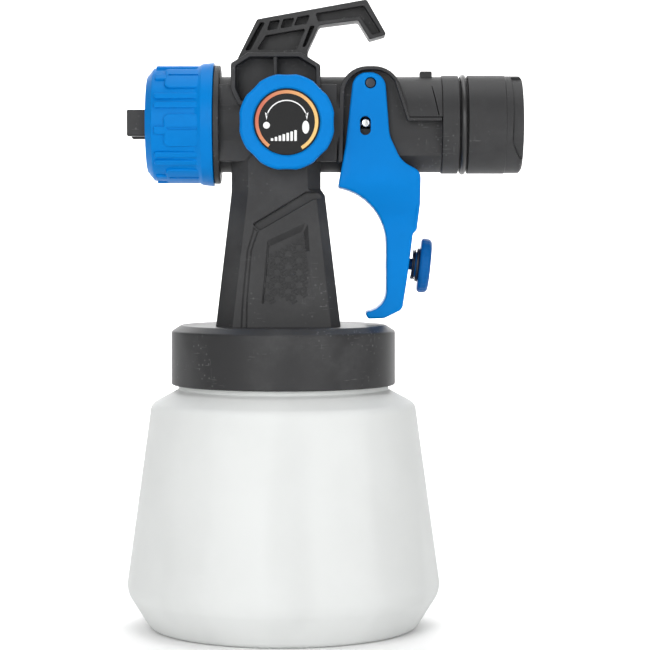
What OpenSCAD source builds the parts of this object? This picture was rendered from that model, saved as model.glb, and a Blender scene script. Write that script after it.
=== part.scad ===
// Air spray gun head with a screw-on cup: nozzle to the front (-X), air inlet to the rear (+X),
// origin on the cup's foot plane, on the cup's axis. Millimetres.

/* [Barrel] */
// Height of the barrel's axis over the foot plane
barrel_z = 193.2; // [193:0.1:193.6]
// Radius of the barrel
barrel_r = 18.3; // [18.1:0.1:18.4]
// Radius of the air way round the fluid core
air_way_r = 12.2; // [11.8:0.1:12.4]
// Radius of the fluid core along the barrel's axis
core_r = 8; // [7.6:0.1:8.2]
// Rear end of the barrel, where the inlet sleeve begins
barrel_rear = 60.3; // [60.2:0.1:60.4]

/* [Inlet] */
// Radius of the sleeve that plugs into the turbine handle
inlet_r = 18.8; // [18.7:0.1:19]
// Rear end of the sleeve
inlet_rear = 91; // [90:0.5:93]
// Radius of the sleeve's bore
inlet_bore = 15.8; // [15.6:0.1:15.9]

/* [Nozzle end] */
// Rear face of the union nut
nut_rear = -26.2; // [-26.2:0.1:-26]
// Front face of the union nut
nut_front = -51.8; // [-52:0.1:-51.8]
// Radius over the nut's grip pads
nut_r = 22.5; // [22.3:0.1:22.8]
// Radius of the nut's rear flange
nut_flange_r = 23.7; // [23.4:0.1:24]
// Number of grip pads round the nut
nut_pads = 6; // [6:1:6]
// How far the air cap is turned from upright, in degrees
cap_turn = 4; // [0:1:10]

/* [Wheel housing] */
// Front side of the housing
housing_front = -19.4; // [-19.4:0.1:-19.2]
// Rear side of the housing
housing_rear = 14.3; // [14.2:0.1:14.3]
// Top of the housing
housing_top = 219.4; // [219.2:0.1:219.4]
// Half the housing's width
housing_half = 19; // [18.6:0.1:19.2]
// Distance of the jog wheel's axis behind the cup's axis
wheel_x = 1.8; // [1.6:0.1:2]
// Radius of the jog wheel
wheel_r = 17.9; // [17.6:0.1:18]
// Number of hollows round the jog wheel
wheel_lobes = 8; // [6:1:10]

/* [Trigger] */
// Position of the trigger's pivot along the barrel
pivot_x = 33.1; // [33:0.1:33.2]
// Height of the trigger's pivot
pivot_z = 208.2; // [208.1:0.1:208.3]
// Position of the needle's cross pin along the barrel
pin_x = 31.3; // [31.2:0.1:31.4]
// Thickness of each side plate of the yoke
yoke_plate = 3.4; // [3.2:0.1:3.5]
// Half the distance between the insides of the side plates
yoke_gap = 14.1; // [14.1:0.05:14.2]
// Half the width of the finger lever
finger_half = 9.2; // [8.8:0.1:9.6]
// Tilt of the flow knob's axis, in degrees
knob_tilt = 6; // [5:0.5:7]

/* [Cup] */
// Largest radius of the container
cup_r = 60.5; // [60:0.1:61]
// Radius of the container's neck
neck_r = 40.4; // [40.2:0.1:40.5]
// Wall of the container
cup_wall = 1.8; // [1.6:0.1:2.2]
// Radius of the lid
lid_r = 43; // [42.8:0.1:43.5]
// Underside of the lid's skirt
lid_bottom = 93.6; // [93.4:0.1:94]
// Top face of the lid
lid_top = 116.5; // [116.4:0.1:116.6]

/* [Hook] */
// Half the hook's thickness
hook_half = 7.5; // [7:0.1:8]
// Depth of the hook's recessed cells
cell_depth = 4.5; // [4:0.1:5]

/* [Hidden] */
$fn = 64;

black_plastic = "#303133";
bright_blue = "#0a82dc";
deep_blue = "#1450a8";
rubber_black = "#151515";
frosted = "#eef0ef";
steel = "#c4c7ca";
brass = "#c9a24a";

// running clearance of pins and shafts, and the wider one between moving faces
fit = 0.05;
gap = 0.3;
// how far a cut runs past the face that it opens
over = 1;

cap_flange_rear = -45;
cap_flange_front = -47.4;
cap_hub_r = 15.1;
lip_rear = -48.2;
boss_front = -42.5;
boss_r = 19.4;
boss_bore = 15.5;
clamp_r = 18.6;
core_front = -36;
core_rear = 57.5;
nozzle_bore = 4.6;
fluid_bore = 3;
spring_bore = 4.5;
packing_x = 8;
packing_nut_x = 11.6;
needle_r = 1.5;
carriage_r = 4.2;
carriage = [28.6, 36];
spring_cap_x = 53;
needle_travel = 3.27;
spigot_rear = 80;
oring_x = 68.5;
oring_wire = 1.15;
groove_floor = 16.85;
sleeve_plain_end = 84.2;

panel_half = 17;
panel_height = 29;
rim = 1.6;
recess_floor = 11;
wheel_z = barrel_z - 0.2;
wheel_front = -30.5;
wheel_rear = -21.6;
dial_r = 12.3;
spindle_r = 3.95;
chamber_r = 8.6;

pocket_half = 13.6;
ear_half = 17.6;
pivot_r = 2;
slot_width = 4;

yoke_half = yoke_gap + yoke_plate;
knob_x = 48.35;
knob_z = 139.8;

pillar_low = [-25.2, 21.9, 24];
pillar_high = [-19.4, 15.7, 17.6];
pillar_high_z = 168;
pillar_corner = 6.5;
pillar_wall = 3;
riser_r = 5;
air_tap_x = 11.2;
air_tap_r = 3;
riser_end = 102;
riser_spigot_r = 6.3;
bush_r = 4.95;
tube_r = 3.5;
tube_bore = 2.4;
tube_top = 112;
lid_ceiling = 112;
skirt_r = 40.8;
screw_x = [-15.6, 12.4];
screw_y = 15;
screw_r = 1.5;
gasket_z = 110.05;
neck_top = 110;

// ---------- outlines ----------

function unit(v) = v / norm(v);

// Points that round the corner b between a and c with radius r
function fillet(a, b, c, r, n) =
    let (
        u = unit(a - b),
        w = unit(c - b),
        half = acos(u * w) / 2,
        centre = b + unit(u + w) * r / sin(half),
        p = b + u * r / tan(half) - centre,
        q = b + w * r / tan(half) - centre,
        start = atan2(p.y, p.x),
        turn = atan2(q.y, q.x) - start,
        sweep = turn > 180 ? turn - 360 : turn < -180 ? turn + 360 : turn
    )
    [for (i = [0 : n]) centre + r * [cos(start + sweep * i / n), sin(start + sweep * i / n)]];

// Outline through corners given as [x, y, radius]
function rounded(corners, n = 5) =
    let (count = len(corners), at = function (i) [corners[i % count].x, corners[i % count].y])
    [for (i = [0 : count - 1])
        each corners[i][2] > 0
            ? fillet(at(i + count - 1), at(i), at(i + 1), corners[i][2], n)
            : [at(i)]];

// Corners mirrored to the other side of the vertical axis, in running order
function mirrored(corners) =
    concat(corners, [for (i = [len(corners) - 1 : -1 : 0])
        [-corners[i].x, corners[i].y, corners[i][2]]]);

// ---------- basic bodies ----------

// Round bar along X
module bar_x(r, x0, x1, z = barrel_z) {
    translate([x0, 0, z]) rotate([0, 90, 0]) cylinder(r = r, h = x1 - x0);
}

// Round bar along Y
module bar_y(r, y0, y1, x, z) {
    translate([x, y1, z]) rotate([90, 0, 0]) cylinder(r = r, h = y1 - y0);
}

// Round bar along Z
module bar_z(r, z0, z1, x = 0, y = 0) {
    translate([x, y, z0]) cylinder(r = r, h = z1 - z0);
}

// Flat ring along X
module ring_x(r, bore, x0, x1) {
    difference() {
        bar_x(r, x0, x1);
        bar_x(bore, x0 - over, x1 + over);
    }
}

// Side outline in X and Z, from y0 to y1
module slab_y(points, y0, y1) {
    translate([0, y1, 0]) rotate([90, 0, 0]) linear_extrude(y1 - y0) polygon(points);
}

// Front outline in Y and Z, from x0 to x1
module slab_x(points, x0, x1) {
    translate([x0, 0, 0]) rotate([90, 0, 90]) linear_extrude(x1 - x0) polygon(points);
}

// Block between two corners
module block(low, high) {
    translate(low) cube(high - low);
}

// Solid of revolution round the barrel's axis, from [x, radius] points
module lathe_x(points) {
    translate([0, 0, barrel_z]) rotate([0, 90, 0])
        rotate_extrude() polygon([for (p = points) [p.y, p.x]]);
}

// Solid of revolution round a line along Y at the wheel, from [y, radius] points
module lathe_y(points) {
    translate([wheel_x, 0, wheel_z]) rotate([-90, 0, 0])
        rotate_extrude() polygon([for (p = points) [p.y, p.x]]);
}

// Part of a ring round the barrel's axis; the angle counts upwards from the near side
module sector_x(r0, r1, middle, width, x0, x1) {
    translate([x0, 0, barrel_z]) rotate([0, 90, 0]) rotate([0, 0, -90 - middle - width / 2])
        rotate_extrude(angle = width) translate([r0, 0]) square([r1 - r0, x1 - x0]);
}

// Ring of round wire along X
module wire_ring_x(x, r, wire) {
    translate([x, 0, barrel_z]) rotate([0, 90, 0])
        rotate_extrude() translate([r, 0]) circle(r = wire, $fn = 32);
}

// Coil along +Z from z = 0, as one swept tube with flat ends
module coil(r, wire, length, turns, steps = 14, sides = 6) {
    rings = turns * steps;
    rise = (length - 2 * wire) / rings;
    points = [for (i = [0 : rings], j = [0 : sides - 1])
        let (a = 360 * i / steps, b = 360 * j / sides, q = r + wire * cos(b))
        [q * cos(a), q * sin(a), wire + rise * i + wire * sin(b)]];
    skin = [for (i = [0 : rings - 1], j = [0 : sides - 1])
        let (k = (j + 1) % sides)
        [i * sides + j, i * sides + k, (i + 1) * sides + k, (i + 1) * sides + j]];
    start = [for (j = [sides - 1 : -1 : 0]) j];
    end = [for (j = [0 : sides - 1]) rings * sides + j];
    polyhedron(points, concat([start], skin, [end]), convexity = 10);
}

// ---------- gun body ----------

// Block with sloping sides: half widths at the bottom and top across one direction
module sloped(turn, low, high, z0, z1) {
    rotate([0, 0, turn])
        slab_y([[low[0], z0], [low[1], z0], [high[1], z1], [high[0], z1]], -80, 80);
}

// Pillar with sloped sides and cut corners; inset moves every side inwards
module pillar_block(inset, z0, z1) {
    along = function (z, k) pillar_low[k]
        + (pillar_high[k] - pillar_low[k]) * (z - lid_top) / (pillar_high_z - lid_top);
    middle = function (z) (along(z, 0) + along(z, 1)) / 2;
    reach = function (z) (along(z, 1) - along(z, 0)) / 2 + along(z, 2) - pillar_corner - 1.4 * inset;
    diagonal = function (z) [middle(z) - reach(z), middle(z) + reach(z)] / sqrt(2);
    sides = function (z) [along(z, 0) + inset, along(z, 1) - inset];
    depth = function (z) [inset - along(z, 2), along(z, 2) - inset];
    intersection() {
        sloped(0, sides(z0), sides(z1), z0, z1);
        sloped(90, depth(z0), depth(z1), z0, z1);
        sloped(45, diagonal(z0), diagonal(z1), z0, z1);
        sloped(-45, diagonal(z0), diagonal(z1), z0, z1);
    }
}

// Raised panel and sunk field on the pillar's near face
module grip_field() {
    lean = atan((pillar_low[2] - pillar_high[2]) / (pillar_high_z - lid_top));
    translate([0, -pillar_low[2], lid_top]) rotate([90 - lean, 0, 0]) {
        translate([0, 0, -1]) linear_extrude(3)
            polygon(rounded([[-8.6, 10, 1.5], [-6.6, 33, 1.5], [8.2, 39.5, 1.5], [12.4, 10, 1.5]]));
        translate([0, 0, -0.8]) linear_extrude(3)
            polygon([[-13, 37], [-10.5, 39.2], [9, 51], [16.5, 51.6], [16.5, 49.6]]);
    }
}

housing_outline = [[housing_front, 172, 0], [housing_rear, 172, 0], [housing_rear, 214.8, 0],
    [7.1, housing_top, 0], [-12.9, housing_top, 0], [housing_front, 215.4, 0]];

// Housing with a rim and a sunk field on both sides
module wheel_housing() {
    field = [[housing_front + rim, 176, 1], [housing_rear - rim, 176, 1],
        [housing_rear - rim, 214.1, 1], [6.6, housing_top - rim, 1],
        [-12.4, housing_top - rim, 1], [housing_front + rim, 214.7, 1]];
    difference() {
        slab_y(rounded(housing_outline), -housing_half, housing_half);
        slab_y(rounded(field), -housing_half - over, -recess_floor);
        slab_y(rounded(field), recess_floor, housing_half + over);
    }
    for (side = [-1, 1])
        translate([-2.7 - 0.6, side < 0 ? 1 - housing_half : recess_floor, 206])
            cube([1.2, housing_half - recess_floor - 1, 12.5]);
}

// Arched rim over the trigger's yoke, before its pockets are cut
module trigger_ear() {
    arch = rounded([[20.9, 178, 0], [21.6, 214.5, 10.5], [42, 214.5, 10.5], [49, 193.6, 0],
        [barrel_rear - 0.1, 193.6, 0], [barrel_rear - 0.1, 192, 0], [40, 186, 0]], 8);
    slab_y(arch, -ear_half, ear_half);
}

// Flat pocket at one side of the barrel in which the yoke swings
module trigger_pocket(side) {
    hollow = rounded([[22.3, 150, 0], [22.6, 180, 0], [23.4, 213.2, 9.2], [40.9, 213.2, 9.2],
        [47.6, 194.8, 0.6], [barrel_rear - 0.1, 194.8, 0], [barrel_rear - 0.1, 150, 0]], 8);
    if (side < 0) slab_y(hollow, -30, -pocket_half);
    else slab_y(hollow, pocket_half, 30);
}

module body_outside() {
    difference() {
        union() {
            bar_x(barrel_r, nut_rear, barrel_rear);
            trigger_ear();
        }
        for (side = [-1, 1]) trigger_pocket(side);
    }
    bar_x(nut_flange_r - 1, nut_rear, nut_rear + 2.3);
    bar_x(boss_r, boss_front, nut_rear + 0.5);
    bar_x(inlet_bore - fit, barrel_rear - 0.5, spigot_rear);
    block([nut_rear + 2, -panel_half, barrel_z - panel_height / 2],
        [20.6, panel_half, barrel_z + panel_height / 2]);
    wheel_housing();
    bar_y(14.5, wheel_rear + gap, -recess_floor, wheel_x, wheel_z);
    pillar_block(0, lid_top, pillar_high_z);
    block([pillar_high[0], -pillar_high[2], pillar_high_z - 0.5],
        [housing_rear, pillar_high[2], 176]);
    block([52.2, -4, barrel_z + barrel_r - 1], [56.8, 4, 213.7]);
}

module body_hollows() {
    bar_x(air_way_r, -30, spigot_rear + over);
    bar_x(boss_bore, boss_front - over, -28);
    pillar_block(pillar_wall, lid_top - over, 166);
    bar_y(chamber_r, -14, 0, wheel_x, wheel_z);
    bar_y(spindle_r + fit, wheel_rear - over, 0, wheel_x, wheel_z);
    bar_z(air_tap_r - 1, lid_top - over, barrel_z - 9, air_tap_x);
    for (x = [-10, 3]) bar_z(2.05, 210, housing_top + over, x);
}

// What stands inside the hollows: the fluid core on its webs, the riser, the air tap and screw posts
module body_inside() {
    bar_x(core_r, core_front, core_rear);
    for (side = [-1, 1]) {
        block([core_front, -1.6, barrel_z + side * 7 - 5.5 + side * 3],
            [-28, 1.6, barrel_z + side * 7 + 5.5 + side * 3]);
        block([-30, -1.6, barrel_z + side * 10 - 3], [core_rear, 1.6, barrel_z + side * 10 + 3]);
        block([27.2, side * 10 - 3.6, barrel_z - 4.5], [39.4, side * 10 + 3.6, barrel_z + 4.5]);
    }
    bar_z(riser_r, lid_top, barrel_z - core_r + 2);
    bar_z(riser_spigot_r, riser_end, lid_top + 2);
    bar_z(air_tap_r, lid_top, 182, air_tap_x);
    for (x = screw_x, y = [-screw_y, screw_y]) bar_z(3.6, lid_top, lid_top + 13, x, y);
}

module body_bores() {
    bar_x(nozzle_bore, core_front - over, -28);
    bar_x(fluid_bore, -28 - over, packing_x + over);
    bar_x(spring_bore, packing_x, core_rear + over);
    bar_z(fluid_bore, tube_top, barrel_z - 2);
    bar_z(bush_r + fit, riser_end - over, tube_top + 1);
    bar_z(air_tap_r - 1, lid_top - over, barrel_z - 9, air_tap_x);
    for (x = screw_x, y = [-screw_y, screw_y]) bar_z(screw_r + fit, lid_top - over, lid_top + 10, x, y);
    bar_y(pivot_r + fit, -30, 30, pivot_x, pivot_z);
    block([pin_x - 2.1, -30, barrel_z - 2.1], [pin_x + needle_travel + 2.1, 30, barrel_z + 2.1]);
}

module gun_body() {
    color(black_plastic) difference() {
        union() {
            difference() {
                body_outside();
                body_hollows();
            }
            body_inside();
        }
        body_bores();
        grip_field();
    }
}

// ---------- hook ----------

module hook_cell(points) {
    for (y = [-hook_half - over, hook_half - cell_depth])
        slab_y(rounded(points, 3), y, y + cell_depth + over);
}

module hanging_hook() {
    foot = 0.05;
    color(black_plastic) {
        difference() {
            slab_y(rounded([[-18.5, 215.96 + foot, 0], [-10.4, 233.2, 1.2], [32, 240.6, 0.8],
                [39.6, 227, 0.5], [32.9, 225.2, 0.5], [28.5, 232.6, 0.8], [13.9, 230.9, 1.2],
                [9.4, 221, 1], [9.4, 217.94 + foot, 0], [7.1, housing_top + foot, 0],
                [-12.9, housing_top + foot, 0]], 4), -hook_half, hook_half);
            hook_cell([[12.4, 235.2, 0.5], [30.4, 238.4, 0.6], [37, 227.6, 0.4], [34, 227.1, 0.4],
                [29.2, 234.3, 0.8], [12.4, 231.9, 0.5]]);
            for (cell = [[-7.4, -1.6], [-0.4, 4], [5.2, 10.8]])
                hook_cell([[cell[0], 231.3, 0.3], [cell[1], 232.3, 0.3],
                    [cell[1], 234.9 + 0.17 * cell[1], 0.3], [cell[0], 234.1 + 0.17 * cell[0], 0.3]]);
            hook_cell([[-10.5, 230.8, 0.3], [-8.4, 230.9, 0.3], [-12.6, 221, 0.3], [-14.8, 221, 0.3]]);
            hook_cell([[-7, 230, 0.4], [6.6, 231, 0.4], [4, 221, 0.4], [-10.4, 221, 0.4]]);
            hook_cell([[7.8, 230.6, 0.3], [9.8, 230.4, 0.3], [7.2, 221, 0.3], [5.4, 221, 0.3]]);
        }
        for (x = [-10, 3]) bar_z(2, 210.4, housing_top + 0.5, x);
    }
}

// ---------- inlet ----------

module inlet_sleeve() {
    rear_r = inlet_r - 0.25;
    color(black_plastic) difference() {
        lathe_x([[barrel_rear + 0.05, inlet_bore], [barrel_rear + 0.05, inlet_r - 0.4],
            [barrel_rear + 0.45, inlet_r], [oring_x - 1.75, inlet_r], [oring_x - 1.75, groove_floor],
            [oring_x + 1.75, groove_floor], [oring_x + 1.75, inlet_r], [sleeve_plain_end, inlet_r],
            [sleeve_plain_end + 0.3, rear_r], [inlet_rear - 2, rear_r], [inlet_rear - 0.7, rear_r - 0.4],
            [inlet_rear - 0.2, rear_r - 1.3], [inlet_rear, inlet_bore + 0.6], [inlet_rear, inlet_bore]]);
        for (side = [0, 180]) {
            sector_x(inlet_r - 1.2, inlet_r + over, side + 25, 98, 86.8, inlet_rear + over);
            sector_x(inlet_r - 1.2, inlet_r + over, side - 32, 20, 89, inlet_rear + over);
        }
    }
}

module inlet_oring() {
    color(rubber_black) wire_ring_x(oring_x, groove_floor + fit + oring_wire, oring_wire);
}

// ---------- nozzle end ----------

module union_nut() {
    base = nut_r - 0.9;
    color(bright_blue) difference() {
        union() {
            lathe_x([[nut_front, 15.4], [nut_front, nut_r - 4.4], [nut_front + 2.6, base],
                [nut_rear - 5.5, base + 0.3], [nut_rear - 4.8, nut_flange_r - 0.4],
                [nut_rear - 0.3, nut_flange_r], [nut_rear - 0.1, nut_flange_r - 0.3],
                [nut_rear - 0.1, boss_r + gap], [lip_rear, boss_r + gap], [lip_rear, 15.4]]);
            for (i = [0 : nut_pads - 1]) {
                turn = 360 / nut_pads * i;
                sector_x(base - 0.5, nut_r, turn - 7, 27, -44.5, -30.6);
                sector_x(base - 0.5, nut_r - 0.2, turn - 7, 7, -48.4, -44);
                for (rib = [-5.2, 5.2])
                    sector_x(base - 0.5, nut_r - 0.1, turn + 23 + rib, 7.4, -48.4, -31.8);
            }
        }
        for (i = [0 : nut_pads - 1])
            sector_x(base + 0.4, nut_r + over, 360 / nut_pads * i - 7, 2.6, -43.5, -31.6);
    }
}

module nut_thrust_ring() {
    color(frosted) ring_x(clamp_r + 0.4, 15.6, lip_rear + fit, cap_flange_front - fit);
}

module air_cap() {
    color(black_plastic) translate([0, 0, barrel_z]) rotate([-cap_turn, 0, 0])
        translate([0, 0, -barrel_z]) difference() {
            union() {
                lathe_x([[-51.5, 0], [-51.5, cap_hub_r - 1], [-50.5, cap_hub_r],
                    [cap_flange_front, cap_hub_r], [cap_flange_front, clamp_r],
                    [cap_flange_rear, clamp_r], [cap_flange_rear, 13], [-49.5, 11], [-49.5, 0]]);
                for (side = [-1, 1])
                    slab_x([[side * 8.4, 188.4], [side * 14.2, 188.4], [side * 14.2, 198],
                        [side * 8.4, 198]], -58.9, -49.7);
            }
            bar_x(3, -53, -48);
            for (a = [45 : 90 : 315])
                translate([0, 5.4 * cos(a), 5.4 * sin(a)]) bar_x(0.8, -53, -48);
            for (side = [-1, 1]) {
                translate([0, side * 11.6, 0]) bar_x(1.8, -57, -48.5);
                slab_y([[-60, 187], [-60, 200], [-57.6, 200], [-57.6, 187]],
                    side < 0 ? -10 : 8, side < 0 ? -8 : 10);
            }
        }
}

module baffle_plate() {
    color(black_plastic) difference() {
        ring_x(clamp_r, 6.2, cap_flange_rear + fit, boss_front - fit);
        for (a = [0 : 30 : 330])
            translate([0, 12 * cos(a), 12 * sin(a)]) bar_x(1.6, -46, -42);
    }
}

module fluid_nozzle() {
    color(brass) difference() {
        union() {
            lathe_x([[-51.6, 0], [-51.6, 2.1], [-50, 2.3], [-45.5, 5.6], [-45, 5.9], [-41.4, 5.9],
                [-41.4, 0]]);
            translate([-41.5, 0, barrel_z]) rotate([0, 90, 0]) cylinder(r = 7.4, h = 4.4, $fn = 6);
            bar_x(nozzle_bore - fit, -37.5, -28.4);
        }
        lathe_x([[-52, 0], [-52, 0.95], [-50.6, 0.95], [-46.5, 2.4], [-28, 2.4], [-28, 0]]);
    }
}

module nozzle_gasket() {
    color(rubber_black) ring_x(6.8, nozzle_bore + fit, -37.05, core_front - fit);
}

module fluid_needle() {
    color(steel) difference() {
        lathe_x([[-51.3, 0], [-51.3, 0.4], [-50.6, 0.86], [-48.8, needle_r],
            [carriage[0], needle_r], [carriage[0], carriage_r - 0.5], [carriage[0] + 0.5, carriage_r],
            [carriage[1], carriage_r], [carriage[1], needle_r], [52, needle_r], [52, 0]]);
        bar_y(needle_r, -6, 6, pin_x, barrel_z);
    }
}

module needle_pin() {
    color(steel) bar_y(needle_r - 0.01, -16.6, 16.6, pin_x, barrel_z);
}

module needle_packing() {
    color(frosted) ring_x(spring_bore - fit, needle_r + fit, packing_x + fit, packing_nut_x - fit);
}

module packing_nut() {
    color(brass) difference() {
        ring_x(spring_bore - fit, needle_r + 0.2, packing_nut_x, 19);
        block([17, -0.7, barrel_z - 6], [20, 0.7, barrel_z + 6]);
    }
}

module needle_spring() {
    color(steel) translate([carriage[1] + 0.1, 0, barrel_z]) rotate([0, 90, 0])
        coil(r = 3.1, wire = 0.5, length = spring_cap_x - carriage[1] - 0.2, turns = 7);
}

module spring_cap() {
    color(brass) difference() {
        union() {
            bar_x(spring_bore - fit, spring_cap_x, core_rear + 0.5);
            translate([core_rear + fit, 0, barrel_z]) rotate([0, 90, 0])
                cylinder(r = 6.6, h = 2.4, $fn = 6);
        }
        bar_x(needle_r + 0.2, spring_cap_x - over, 58.6);
    }
}

// ---------- jog wheel ----------

module jog_wheel() {
    color(bright_blue) difference() {
        lathe_y([[wheel_rear, 4 + fit], [wheel_rear, wheel_r - 1.2], [wheel_rear - 1.2, wheel_r],
            [wheel_front + 2, wheel_r], [wheel_front + 0.6, wheel_r - 0.8],
            [wheel_front, wheel_r - 2.2], [wheel_front, dial_r + 0.6],
            [wheel_front + 0.5, dial_r + 0.1], [wheel_front + 1.5, dial_r + 0.1],
            [wheel_front + 1.5, 3.6], [-26.9, 3.6], [-26.9, 1.6], [-25.1, 1.6],
            [-25.1, 4 + fit]]);
        for (a = [0 : 360 / wheel_lobes : 359])
            translate([30 * cos(a), 0, 30 * sin(a)])
                bar_y(30 - wheel_r + 0.55, wheel_front - over, wheel_rear + over, wheel_x, wheel_z);
        lathe_y([[wheel_rear + over, 7], [wheel_rear + over, 14.5], [-26, 14.5], [-26, 7]]);
    }
}

module dial_plate() {
    color(black_plastic) bar_y(dial_r, wheel_front + 0.8, wheel_front + 1.45, wheel_x, wheel_z);
}

module valve_spindle() {
    color(black_plastic) difference() {
        union() {
            lathe_y([[-25, 0], [-25, spindle_r], [-18.8, spindle_r], [-18.8, 2.6], [-17.2, 2.6],
                [-17.2, spindle_r], [-13, spindle_r], [-13, 0]]);
            bar_y(5.2, -13.5, -11.4, wheel_x + 2, wheel_z);
        }
        bar_y(screw_r + fit, -26, -17.5, wheel_x, wheel_z);
    }
}

module wheel_screw() {
    color(steel) difference() {
        union() {
            bar_y(3, -28.7, -26.95, wheel_x, wheel_z);
            bar_y(screw_r, -27, -18, wheel_x, wheel_z);
        }
        for (turn = [0, 90])
            translate([wheel_x, -28.2, wheel_z]) rotate([0, turn, 0])
                cube([3.4, 1.4, 0.7], center = true);
    }
}

module spindle_oring() {
    color(rubber_black) translate([wheel_x, -18, wheel_z]) rotate([90, 0, 0])
        rotate_extrude() translate([3.28, 0]) circle(r = 0.62, $fn = 32);
}

// ---------- trigger ----------

// Side outline of the whole trigger
trigger_side = rounded([[20.9, 169.1, 0.6], [23.7, 184.5, 60], [26.8, 212.2, 5.6],
    [38.5, 212.2, 5.8], [40.4, 187.6, 14], [52, 171.6, 6], [52.1, 163, 0], [51, 153, 0.8],
    [49.5, 151.4, 0.8], [47.4, 134.8, 0], [45.5, 122.6, 3], [38.6, 119.2, 4], [32.4, 119, 0.8],
    [30.7, 121.2, 0.4], [39.4, 122.9, 8], [39.4, 164.6, 22]], 9);

// Front outline: wide over the barrel, narrow at the finger
trigger_front = rounded(mirrored([[yoke_half, 213, 2], [yoke_half, 171, 12],
    [finger_half, 157, 12], [finger_half - 0.4, 118, 1.5]]), 6);

module knob_place() {
    translate([knob_x, 0, knob_z]) rotate([0, 90 + knob_tilt, 0]) children();
}

module trigger() {
    swing_room = [[10, 173.2], [33, 173.2], [53, 169.7], [70, 169.7], [70, 230], [10, 230]];
    color(bright_blue) difference() {
        intersection() {
            slab_y(trigger_side, -30, 30);
            slab_x(trigger_front, 0, 70);
        }
        slab_y(swing_room, -yoke_gap, yoke_gap);
        bar_y(pivot_r + 0.1, -30, 30, pivot_x, pivot_z);
        for (z = [195.7 - slot_width / 2, 188.6 + slot_width / 2])
            bar_y(slot_width / 2, -30, 30, pin_x - 0.1, z);
        block([pin_x - 0.1 - slot_width / 2, -30, 188.6 + slot_width / 2],
            [pin_x - 0.1 + slot_width / 2, 30, 195.7 - slot_width / 2]);
        knob_place() translate([0, 0, -9]) cylinder(r = 3.65, h = 11);
    }
}

module pivot_pin() {
    color(steel) bar_y(pivot_r, 0.9 - yoke_half, yoke_half - 0.9, pivot_x, pivot_z);
}

module knob_insert() {
    color(brass) knob_place() translate([0, 0, -8.6]) difference() {
        cylinder(r = 3.6, h = 8.3);
        translate([0, 0, -over]) cylinder(r = 2.25, h = 11);
    }
}

module flow_knob() {
    color(deep_blue) knob_place() rotate_extrude()
        polygon(rounded([[0, -8, 0], [1.6, -8, 0], [2.2, -7.4, 0], [2.2, 1.2, 0], [4.85, 1.2, 0],
            [4.85, 3.7, 0], [10.5, 3.7, 1.4], [10.5, 7.9, 1.6], [0, 7.9, 0]], 5));
}

module knob_spring() {
    color(steel) knob_place() translate([0, 0, 0.75]) coil(r = 5.5, wire = 0.24, length = 1.7, turns = 2);
}

module knob_washer() {
    color(steel) knob_place() translate([0, 0, 2.6]) difference() {
        cylinder(r = 6.4, h = 1);
        translate([0, 0, -over]) cylinder(r = 4.95, h = 3);
    }
}

// ---------- lid and cup ----------

module cup_lid() {
    color(black_plastic) difference() {
        rotate_extrude() polygon([[0, lid_top - 0.05], [lid_r - 3.5, lid_top - 0.05],
            [lid_r, lid_top - 2.4], [lid_r, lid_bottom + 0.6], [lid_r - 0.6, lid_bottom],
            [skirt_r, lid_bottom], [skirt_r, lid_ceiling], [0, lid_ceiling]]);
        bar_z(riser_spigot_r + fit, lid_ceiling - over, lid_top + over);
        bar_z(2.9 + fit, lid_ceiling - over, lid_top + over, air_tap_x);
        for (x = screw_x, y = [-screw_y, screw_y])
            bar_z(screw_r + fit, lid_ceiling - over, lid_top + over, x, y);
    }
}

module lid_screws() {
    color(steel) for (x = screw_x, y = [-screw_y, screw_y]) {
        bar_z(screw_r, lid_ceiling - 0.5, lid_top + 9, x, y);
        bar_z(2.9, lid_ceiling - 2.3, lid_ceiling - fit, x, y);
    }
}

module lid_gasket() {
    color(rubber_black) difference() {
        bar_z(40, gasket_z, gasket_z + 1.5);
        bar_z(33, gasket_z - over, gasket_z + 3);
    }
}

module check_valve() {
    color(frosted) difference() {
        union() {
            bar_z(4.7, 104.5, lid_ceiling - fit, air_tap_x);
            bar_z(2.9, lid_ceiling - 0.5, lid_top - 0.1, air_tap_x);
        }
        bar_z(3.9, 105.5, 108.5, air_tap_x);
        bar_z(1.5, 104, lid_top + over, air_tap_x);
    }
}

module valve_membrane() {
    color(rubber_black) bar_z(3.7, 106.4, 107, air_tap_x);
}

module tube_seal() {
    color(rubber_black) difference() {
        bar_z(bush_r, riser_end, tube_top - 2);
        bar_z(tube_r + fit, riser_end - over, tube_top);
    }
}

bend_r = 20;
bend_z = 45;
bend_turn = 50;
lower_run = 24;

// What follows lies at the lower end of the tube's bend, with +Z pointing down the tube
module below_bend() {
    translate([-bend_r, 0, bend_z]) rotate([0, bend_turn, 0]) translate([bend_r, 0, 0])
        rotate([180, 0, 0]) children();
}

// Middle line of the tube as [x, z, degrees from straight down]
function pickup_line(steps = 6) = concat(
    [[0, tube_top - 1, 0]],
    [for (i = [0 : steps]) let (a = bend_turn * i / steps)
        [bend_r * (cos(a) - 1), bend_z - bend_r * sin(a), a]],
    [[bend_r * (cos(bend_turn) - 1) - lower_run * sin(bend_turn),
        bend_z - bend_r * sin(bend_turn) - lower_run * cos(bend_turn), bend_turn]]);

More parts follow.
